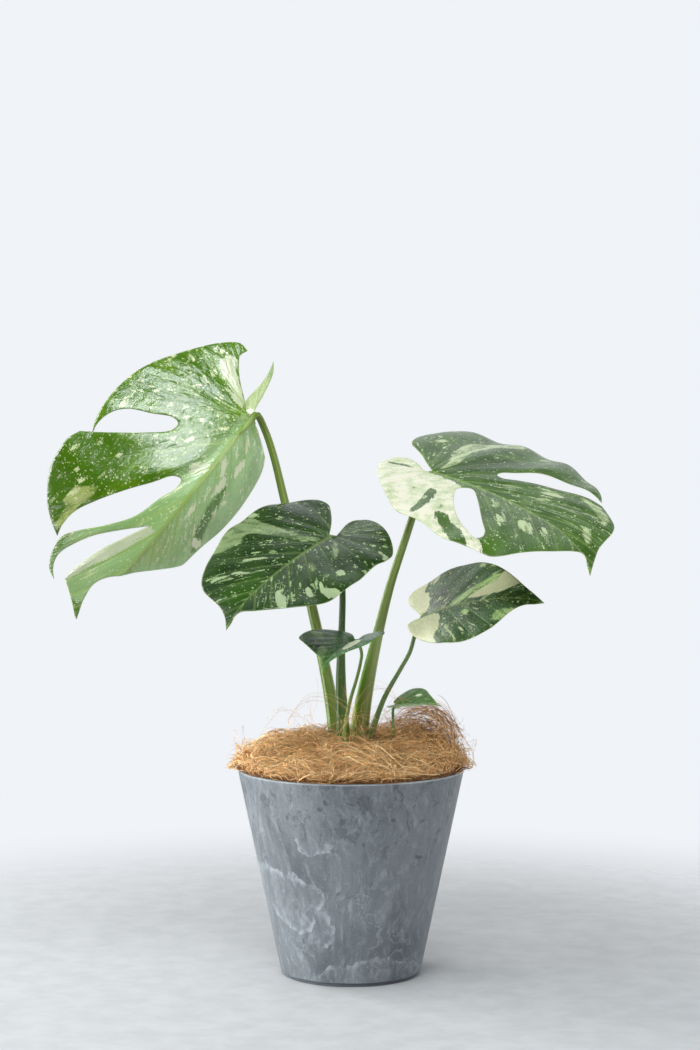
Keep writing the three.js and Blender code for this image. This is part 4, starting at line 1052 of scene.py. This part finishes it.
def mound_piece(sides=96, rings=26):
    """The packed fibre under the loose ones."""
    angle = round_angles(sides)[None, :]
    top = around(MAT_EDGE * np.linspace(1, 0.02, rings)[:, None], angle, 0)
    x, y, _ = np.moveaxis(top, -1, 0)
    bumps = 1.5 * np.sin(x / 4 + 2 * np.sin(y / 9)) * np.sin(y / 5 + x / 13)
    top[..., 2] = mat_height(x, y) - 4.5 + bumps
    foot = around(RIM_RADIUS - WALL - 1, angle, POT_HEIGHT - 12)
    points = np.concatenate([foot, top]).reshape(-1, 3)
    faces = ring_faces(rings + 1, sides).tolist()
    faces.append([rings * sides + j for j in range(sides)])
    piece = make_piece("fibre_mound", points, faces)
    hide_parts("coir_mulch")
    return piece


# Materials of the leaves
class LeafPaint(Paint):
    """A leaf's material, with the places and noises that its marks share."""

    def __init__(self, leaf):
        super().__init__(bpy.data.materials.new("leaf_" + leaf["name"]))
        self.look = in_light({**USUAL_LOOK, **LOOKS[leaf["name"]]})
        self.length = leaf["length"]
        self.flat = self.attribute("flat", "Vector")
        self.x, self.y, _ = self.split(self.flat)
        self.out = self.math("ABSOLUTE", self.y)
        self.half = self.times(self.math("SIGN", self.y), 5.3)

        # The place among the side veins, which are at whole numbers, and the distance to the nearest
        self.place = self.attribute("place")
        self.spacing = self.attribute("spacing")
        off = self.about_half(self.math("FRACT", self.plus(self.place, 0.5)), 1)
        self.off_vein = self.times(self.math("ABSOLUTE", off), self.spacing)

        self.brush = self.drawn_out(6, 0.055, 4, 0.65)
        self.fine = self.noise(self.flat, 0.5, 4, 0.6)
        self.ragged = self.plus(self.about_half(self.brush, 0.055 * self.length),
                                self.about_half(self.fine, 0.025 * self.length))
        # The milky haze is partly a paler green and partly painted sheen
        haze = self.mask(self.drawn_out(1.6, 0.03, 3, 0.6), 0.36, 0.6, 0.7, 0.95)
        self.milky_sheen = self.times(self.zone("milky_sheen", 6), haze)
        # Painted light on the half that bends down from the midrib: its green, flecks and cream are
        # lightened
        self.folded_half_painted_light = self.times(self.milky_sheen, self.mask(self.y, 0, 10))
        self.fleck = self.mix(self.folded_half_painted_light, self.look["fleck"], FOLDED_HALF_LIT_FLECK)

    def drawn_out(self, across, along, *settings):
        """Noise drawn out along the side veins: marks per vein, and marks per millimetre."""
        place = self.combine(self.times(self.place, across), self.times(self.out, along), self.half)
        return self.noise(place, 1, *settings)

    def zone(self, kind, softness):
        """One inside the marks of a kind and nought outside, with ragged edges."""
        return self.mask(self.plus(self.attribute(kind), self.ragged), softness, -softness)


def greens(p):
    """Two greens in clouds, the milky areas that are partly painted sheen, painted light on the half that
    bends down from the midrib, the deep and lime areas, and pale zones with green streaks.
    """
    look = p.look
    broad = p.noise(p.flat, 0.03, 3, 0.55)
    tone = p.mask(p.plus(p.times(broad, 0.55), p.times(p.brush, 0.45)), 0.4, 0.6)
    color = p.mix(tone, look["dark"], look["light"])
    grain = p.mask(p.noise(p.flat, 1.1, 3, 0.6), 0.35, 0.75)
    color = p.over(color, look["light"], grain, 0.3)
    # Partly painted sheen: the milky colour over its zone
    color = p.over(color, look["milky_sheen"], p.milky_sheen)
    # Painted light: a lighter green on the half that bends down from the midrib
    color = p.over(color, FOLDED_HALF_PAINTED_LIGHT, p.folded_half_painted_light, 0.45)
    color = p.over(color, look["deep"], p.zone("deep", 3), 0.9)
    color = p.over(color, look["lime"], p.zone("lime", 8), 0.9)
    veil = p.mask(p.plus(p.times(p.fine, 0.3), p.times(p.drawn_out(4, 0.05, 5, 0.65), 0.7)), 0.4, 0.56)
    return p.over(color, look["pale"], p.zone("pale", 1.2), p.mask(veil, 0, 1, 0.3, 0.95))


def streaked(p, color):
    """Streaks brushed along the side veins, dense in the streaky zones."""
    sparse = p.mask(p.attribute("streaky"), 12, -6, 0.72, 0.615)
    streak = p.mask(p.minus(p.drawn_out(4.6, 0.075, 3, 0.6, 0.5), sparse), 0, 0.02)
    paleness = p.mask(p.noise(p.flat, 0.09, 2), 0.35, 0.65, 0.35, 1)
    return p.over(color, p.fleck, streak, paleness, p.look["streaks"] + 0.2)


def flecked(p, color):
    """Round flecks in two sizes, then long ones."""
    specks, streaks = p.look["specks"], p.look["streaks"]
    wobbled = p.warp(p.flat, 1, 3.4)
    long_place = p.combine(p.plus(p.times(p.place, 6), p.times(p.fine, 2)), p.times(p.out, 0.09), p.half)
    crowd = p.mask(p.noise(p.flat, 0.045, 2), 0.38, 0.62, 0.55, 1.25)
    for vector, scale, size, share, strength in (
            (wobbled, 0.17, 0.2, specks * 0.8, 1),
            (wobbled, 0.32, 0.27, specks, 0.9),
            (long_place, 1, 0.32, streaks * 0.8, 0.95)):
        cell = p.cells(vector, scale)
        chance, other, _ = p.add("SeparateColor", {0: cell.outputs["Color"]}).outputs
        present = p.mask(p.minus(p.times(crowd, share), other), 0, 0.05)
        reach = p.mask(chance, 0, 1, 0.5 * size, size)
        spot = p.mask(p.minus(cell.outputs["Distance"], reach), 0.05, -0.05)
        color = p.over(color, p.fleck, spot, present, p.mask(chance, 0, 1, 0.5 * strength, strength))
    return color


def creamed(p, color):
    """Cream patches with a mottle of pale and dark green, and painted light on the half that bends down from
    the midrib.
    """
    mottle = p.look["mottle"]
    cloudy = p.noise(p.flat, 0.055, 6, 0.68)
    cream = p.over(p.look["cream"], PALE_GREEN, p.mask(cloudy, 0.44, 0.58), mottle)
    cream = p.over(cream, p.look["dark"], p.mask(cloudy, 0.62, 0.66), mottle)
    # Painted light: cream lightened on the half that bends down from the midrib
    cream = p.over(cream, FOLDED_HALF_LIT_FLECK, p.folded_half_painted_light)
    return p.over(color, cream, p.zone("cream", 0.7))


def veined(p, color):
    """The side veins and a pale glow beside them, the midrib, the margin, and the under side."""
    veins = p.look["veins"]
    fading = p.mask(p.out, 0, 80, 1, 0.35)
    vein = p.mask(p.minus(p.off_vein, p.times(fading, 0.9)), 0.5, -0.3)
    color = p.over(color, VEIN_GREEN, vein, fading, veins)
    color = p.over(color, VEIN_GREEN, p.mask(p.off_vein, 3, 0), p.mask(p.out, 50, 5), veins * 0.6)
    rib_width = p.mask(p.x, 0, p.length, p.length * 0.0095, 0.5)
    rib = p.mask(p.minus(p.out, rib_width), 0.8, -0.6)
    color = p.over(color, VEIN_GREEN, rib, p.mask(p.x, -6, 2, 0, 0.1 + 1.5 * veins))
    color = p.over(color, VEIN_GREEN, p.mask(p.attribute("margin"), 0.8, 0.2, 0, 0.3))
    return p.over(color, UNDER_GREEN, p.attribute("under"), 0.6)


def leaf_relief(p):
    """In millimetres: grooves over the veins, ripples along them, fine crinkles and pores."""
    shine = p.look["shine"]
    groove = p.times(p.mask(p.off_vein, 1.8, 0), -0.12)
    ripples = p.times(p.drawn_out(2.4, 0.035, 2), 2.8 * shine**2)
    crinkle = p.times(p.drawn_out(6, 0.14, 4, 0.6), 1.1 * shine)
    lively = p.times(p.mask(p.zone("milky_sheen", 10), 0, 1, 1, 0.2), p.mask(p.spacing, 2, 26))
    pores = p.times(p.noise(p.flat, 0.9, 3, 0.6), 0.14)
    return p.plus(groove, pores, p.times(p.plus(ripples, crinkle), lively))


def leaf_material(leaf):
    """Glossy green leaf with its variegation, dull at the margin and where the stalk joins it."""
    p = LeafPaint(leaf)
    color = greens(p)
    for add_layer in (streaked, flecked, creamed, veined):
        color = add_layer(p, color)
    shine = p.look["shine"]
    glossy = 0.27 - 0.13 * shine
    from_base = p.add("VectorMath", {0: p.flat}, operation="LENGTH").outputs["Value"]
    dull = p.math("MAXIMUM", p.mask(p.attribute("margin"), 1.2, 0.4, 0, 0.75),
                  p.mask(from_base, 14, 5, 0, 0.7))
    roughness = p.math("MAXIMUM", p.mask(p.fine, 0.35, 0.65, glossy, glossy + 0.08), dull)
    cuticle = {"Specular IOR Level": shine, "IOR": 1.5 if shine < 1 else 1.62}
    return p.finish(color, roughness, p.bump(leaf_relief(p), MM), cuticle, glow=p.look["glow"])


def stalk_material(leaf):
    """Leaf stalks: green with darker and paler lengthwise bands, and a pale membranous wing."""
    tones = in_light(STALK_TONES[leaf["name"]])
    p = paint("stalk_" + leaf["name"])
    along, wing = p.attribute("along"), p.attribute("wing")
    round_x, round_y = p.attribute("round_x"), p.attribute("round_y")

    def bands_of(across, lengthwise, scale):
        place = p.combine(p.times(round_x, across), p.times(round_y, across), p.times(along, lengthwise))
        return p.noise(place, scale)

    bands = bands_of(1.8, 0.8, 1.6)
    hairlines = bands_of(12, 4, 1)
    color = p.mix(p.mask(along, 0.05, 0.7), tones["low"], tones["high"])
    color = p.over(color, tones["stripe"], p.mask(bands, 0.36, 0.68), 0.6)
    color = p.over(color, DEEP_GREEN, p.mask(hairlines, 0.5, 0.8), 0.12)
    color = p.over(color, SHEATH_GREEN, p.mask(wing, 0, 0.12), 0.85)
    color = p.over(color, tones["wing"], p.mask(wing, 0.3, 0.85), 0.9)
    color = p.over(color, FLECK, p.mask(p.noise(p.position(), 420), 0.68, 0.76), 0.3)
    color = p.over(color, VEIN_GREEN, p.mask(along, 0.94, 0.975), 0.8)
    normal = p.bump(p.plus(hairlines, p.times(bands, 0.6)), 0.25 * MM, 0.6)
    return p.finish(color, 0.38, normal, {"Specular IOR Level": 0.5}, glow=0.2)


# Materials of the pot and what fills it
def pot_material():
    """Stone composite: mottled grey, fine slanting strokes, and layers that end in sharp pale edges, with a
    painted highlight on each edge and a painted shadow beyond it.
    """
    p = paint("pot_marbled")
    place = p.position()
    _, deep, height = p.split(place)
    warped = p.warp(place, 11, 0.06, 4)
    frayed = p.warp(place, 45, 0.03, 4)
    slanted = p.scaled(warped, (1, 1, 0.5), (0, 28, 0))
    clouds = p.noise(slanted, 15, 6, 0.6)
    smudges = p.noise(slanted, 42, 5, 0.65)
    strokes = p.noise(p.scaled(warped, (1, 1, 0.25), (0, 30, 0)), 170, 5, 0.7)
    grit = p.noise(place, 800, 3, 0.7)
    color = p.mix(p.mask(clouds, 0.34, 0.62), POT_DARK, POT_MID)
    color = p.over(color, POT_DARK, p.mask(smudges, 0.52, 0.68), 0.45)
    color = p.over(color, POT_LIGHT, p.mask(strokes, 0.48, 0.72), 0.4)
    color = p.over(color, POT_DARK, p.mask(strokes, 0.46, 0.28), 0.45)

    # Layers with a painted highlight on their pale edge and a painted shadow beyond it
    layers = p.noise(p.scaled(warped, (1, 1, 0.8), (0, 20, 0)), 12, 6, 0.6)
    step = p.math("FRACT", p.times(layers, 12))
    some = p.mask(p.noise(place, 18, 3), 0.5, 0.66)
    edge = p.times(p.mask(step, 0.62, 0.98), p.mask(step, 1, 0.98))
    color = p.over(color, POT_PALE, edge, some, 0.22)
    color = p.over(color, POT_DARK, p.mask(step, 0.12, 0), some, 0.4)
    feathers = p.mask(p.noise(p.scaled(frayed, (1, 1, 0.4), (0, -35, 0)), 160, 3), 0.4, 0.62, 0.25)
    # Pale crescents, paler stone with a painted highlight along their outer edges
    for shape in POT_ARCS:
        color = p.over(color, POT_PALE, pot_arc(p, frayed, *shape), feathers, 0.4)

    # Grit, pits, bruises and dents, then a painted highlight along the lip and a painted shadow line at the
    # foot
    color = p.over(color, POT_LIGHT, p.mask(grit, 0.5, 0.75), 0.3)
    color = p.over(color, POT_DARK, p.mask(p.noise(place, 260, 4, 0.65), 0.62, 0.72), 0.55)
    bruises = p.noise(p.scaled(frayed, (1, 1, 0.35), (0, 35, 0)), 110, 4, 0.65)
    color = p.over(color, POT_DENT, p.mask(bruises, 0.52, 0.62), p.mask(height, 90 * MM, 170 * MM), 0.6)
    for x, z, size in POT_DENTS:
        dent = p.mask(pot_distance(p, frayed, x, z), size * MM, 0.5 * size * MM)
        color = p.over(color, POT_DENT, dent, p.mask(deep, 0, -20 * MM, 0, 0.7))
    # Painted highlight: a pale line along the lip
    color = p.over(color, POT_PALE, p.mask(height, (POT_HEIGHT - 1.8) * MM, (POT_HEIGHT - 0.8) * MM), 0.4)
    # Painted shadow: a dark band at the foot, where the pot meets the floor
    color = p.over(color, POT_DARK, p.mask(height, 4.5 * MM, 3.5 * MM), 0.8)
    relief = p.plus(p.times(grit, 0.3), p.times(strokes, 0.7), p.times(edge, 0.3))
    roughness = p.mask(clouds, 0.3, 0.7, 0.36, 0.5)
    return p.finish(color, roughness, p.bump(relief, 0.5 * MM, 0.6), {"Specular IOR Level": 0.6})


def pot_distance(p, place, x, z):
    """How far a place on the front of the pot is from a point of it, seen from the front."""
    around, _, height = p.split(place)
    return p.add("VectorMath", {0: p.combine(around, height), 1: (x * MM, z * MM, 0)},
                 operation="DISTANCE").outputs["Value"]


def pot_arc(p, place, x, z, reach, turn):
    """A pale crescent on the front of the pot, which fades inwards and ends sharply outwards in a painted
    highlight.
    """
    around, deep, height = p.split(place)
    away = pot_distance(p, place, x, z)
    side = p.plus(p.times(p.minus(around, x * MM), math.cos(math.radians(turn))),
                  p.times(p.minus(height, z * MM), math.sin(math.radians(turn))))
    fill = p.mask(away, (reach - 7) * MM, reach * MM, 0.25)
    edge = p.mask(away, (reach + 0.6) * MM, reach * MM)
    return p.times(fill, edge, p.mask(side, -4 * MM, 12 * MM), p.mask(deep, 0, -20 * MM))


def soil_material():
    p = paint("soil_crumbs")
    place = p.position()
    crumbs = p.cells(place, 260).outputs["Distance"]
    fine = p.noise(place, 700, 4, 0.7)
    color = p.mix(p.mask(fine, 0.3, 0.7), srgb(44, 32, 24), srgb(84, 64, 48))
    return p.finish(color, 0.95, p.bump(p.plus(crumbs, fine), 1.5 * MM))


def stem_material():
    p = paint("stem_bark")
    bands = p.noise(p.scaled(p.position(), (1, 1, 4)), 60, 4, 0.6)
    color = p.mix(p.mask(bands, 0.35, 0.65), srgb(86, 98, 48), srgb(128, 124, 78))
    return p.finish(color, 0.6, p.bump(bands, 0.8 * MM))


def fibre_material():
    """Coconut fibre: each fibre has its own tone from straw to brown, and painted shade darkens it deep in
    the mat.
    """
    p = paint("coconut_fibre")
    shade = p.attribute("shade")
    spots = p.noise(p.position(), 140, 3, 0.6)
    color = p.mix(p.mask(shade, -0.2, 0.4), FIBRE_DARK, FIBRE_MID)
    color = p.over(color, FIBRE_STRAW, p.mask(shade, 0.4, 0.95))
    color = p.over(color, FIBRE_DARK, p.mask(spots, 0.45, 0.75), 0.25)
    return p.finish(color, 0.5, None, {"Specular IOR Level": 0.5}, glow=0.3)


def mound_material():
    p = paint("packed_fibre")
    place = p.position()
    threads = p.noise(p.scaled(place, (1, 0.22, 1), (0, 0, 35)), 420, 4, 0.7, 0.8)
    crossing = p.noise(p.scaled(place, (0.22, 1, 1), (0, 0, 20)), 380, 4, 0.7, 0.8)
    both = p.math("MAXIMUM", threads, crossing)
    color = p.mix(p.mask(both, 0.45, 0.72), srgb(70, 44, 24), srgb(140, 98, 56))
    return p.finish(color, 0.85, p.bump(both, 2 * MM))


# Floor, light and camera
def make_floor():
    """A round pale floor that fades into the backdrop."""
    rings, sides = 40, 96
    points = around(np.geomspace(0.05, 9, rings)[:, None], round_angles(sides)[None, :], 0)
    faces = ring_faces(rings, sides).tolist() + [list(range(sides))]
    mesh = bpy.data.meshes.new("floor")
    mesh.from_pydata(points.reshape(-1, 3).tolist(), [], faces)
    floor = bpy.data.objects.new("floor", mesh)
    bpy.context.scene.collection.objects.link(floor)
    p = paint("floor")
    place = p.position()
    away = p.add("VectorMath", {0: place}, operation="LENGTH").outputs["Value"]
    grain = p.noise(place, 30, 5, 0.6)
    color = p.mix(p.mask(grain, 0.3, 0.7), srgb(164, 166, 168), srgb(174, 176, 178))
    matte = p.add("BsdfPrincipled", {"Base Color": color, "Roughness": 0.7}).outputs[0]
    clear = p.add("BsdfTransparent", {}).outputs[0]
    faded = p.add("MixShader", {0: p.mask(away, 0.32, 0.9), 1: matte, 2: clear}).outputs[0]
    p.add("OutputMaterial", {"Surface": faded})
    wear(floor, p.owner)


def make_backdrop():
    """Plain to look at from every side, while its light comes mostly from behind the plant."""
    world = bpy.data.worlds.new("backdrop")
    p = Paint(world)
    _, back, up = p.split(p.add("TexCoord", {}).outputs["Generated"])
    wall = p.times(p.mask(back, -0.2, 0.7), p.mask(up, 1.05, 0.6), p.mask(up, -0.35, -0.05))
    light = p.mask(wall, 0, 1, 0.06)
    seen = p.add("LightPath", {}).outputs["Is Camera Ray"]
    strength = p.mask(seen, 0, 1, light)
    surface = p.add("Background", {"Color": BACKDROP, "Strength": strength}).outputs[0]
    p.add("OutputWorld", {"Surface": surface})
    bpy.context.scene.world = world


def area_light(name, place, target, size, power, color, spread=180):
    data = bpy.data.lights.new(name, "AREA")
    data.shape = "RECTANGLE"
    data.size, data.size_y = size
    data.energy = power
    data.spread = math.radians(spread)
    data.color = color
    light = bpy.data.objects.new(name, data)
    light.location = place
    light.rotation_euler = (Vector(target) - Vector(place)).to_track_quat("-Z", "Y").to_euler()
    light.visible_camera = False
    bpy.context.scene.collection.objects.link(light)


def make_camera():
    data = bpy.data.cameras.new("camera")
    data.lens = 85
    data.sensor_width = 36
    camera = bpy.data.objects.new("camera", data)
    camera.location = (-0.0009, -2.398, 0.546)
    camera.rotation_euler = (math.radians(90 - 2.614), 0, 0)
    bpy.context.scene.collection.objects.link(camera)
    bpy.context.scene.camera = camera


# Everything together
for node, material in (("pot", pot_material()), ("soil", soil_material()), ("stem", stem_material())):
    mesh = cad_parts[node].data
    mesh.polygons.foreach_set("use_smooth", [True] * len(mesh.polygons))
    mesh.set_sharp_from_angle(angle=math.radians(35))
    wear(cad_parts[node], material)

for leaf in LEAVES:
    spacing = MESH_STEP * min(1, 0.4 + leaf["length"] / 300)
    wear(blade_piece(leaf, spacing), leaf_material(leaf))
    wear(stalk_piece(leaf), stalk_material(leaf))

wear(mound_piece(), mound_material())
fibre = fibre_material()
for name, lines, thin, thick, darker in (
        ("fibres_first_strands", lying_clumps(560, 5), 0.2, 0.42, 0),
        ("fibres_other_strands", lying_clumps(560, 5), 0.2, 0.42, 0),
        ("fibres_single", lying_fibres(3000), 0.16, 0.36, 0),
        ("fibres_on_top", lying_clumps(420, 1), 0.28, 0.48, 0),
        ("fibres_stray", stray_fibres(1500), 0.1, 0.2, 0.3),
        ("fibres_rim", rim_wisps(520), 0.1, 0.2, 0.25),
        ("fibres_tuft", np.concatenate([path_fibres(path, 32, (6, 7, 6), 2.6) for path in TUFT_PATHS]),
         0.14, 0.28, 0.45),
        ("fibres_hair", np.concatenate([path_fibres(path, 4, (5, 6, 5), 4) for path in HAIR_PATHS]),
         0.08, 0.15, 0.15)):
    wear(fibre_piece(name, lines, thin, thick, darker), fibre)

make_floor()
make_backdrop()
area_light("window_front", (-0.28, -1.85, 1.8), (-0.15, -0.1, 0.45), (1.3, 0.8), 36, DAYLIGHT)
area_light("skylight", (-0.4, -0.83, 2.5), (-0.2, -0.1, 0.45), (1.3, 0.9), 32, DAYLIGHT)
area_light("window_left", (-2.1, 1.0, 1.15), (0, 0, 0.25), (1.5, 1.5), 60, (1.0, 0.99, 0.97))
area_light("bounce_left", (-1.0, -0.35, 0.14), (0, 0, 0.1), (0.9, 0.24), 2, WHITE, 50)
area_light("fill_right", (2.0, -1.0, 0.4), (0, 0, 0.45), (2.0, 1.6), 27, WHITE)
area_light("bounce_right", (0.75, 0.75, 0.12), (-0.15, -0.1, 0.42), (1.6, 1.3), 3, WHITE)
bpy.context.scene.view_settings.view_transform = "Standard"
make_camera()
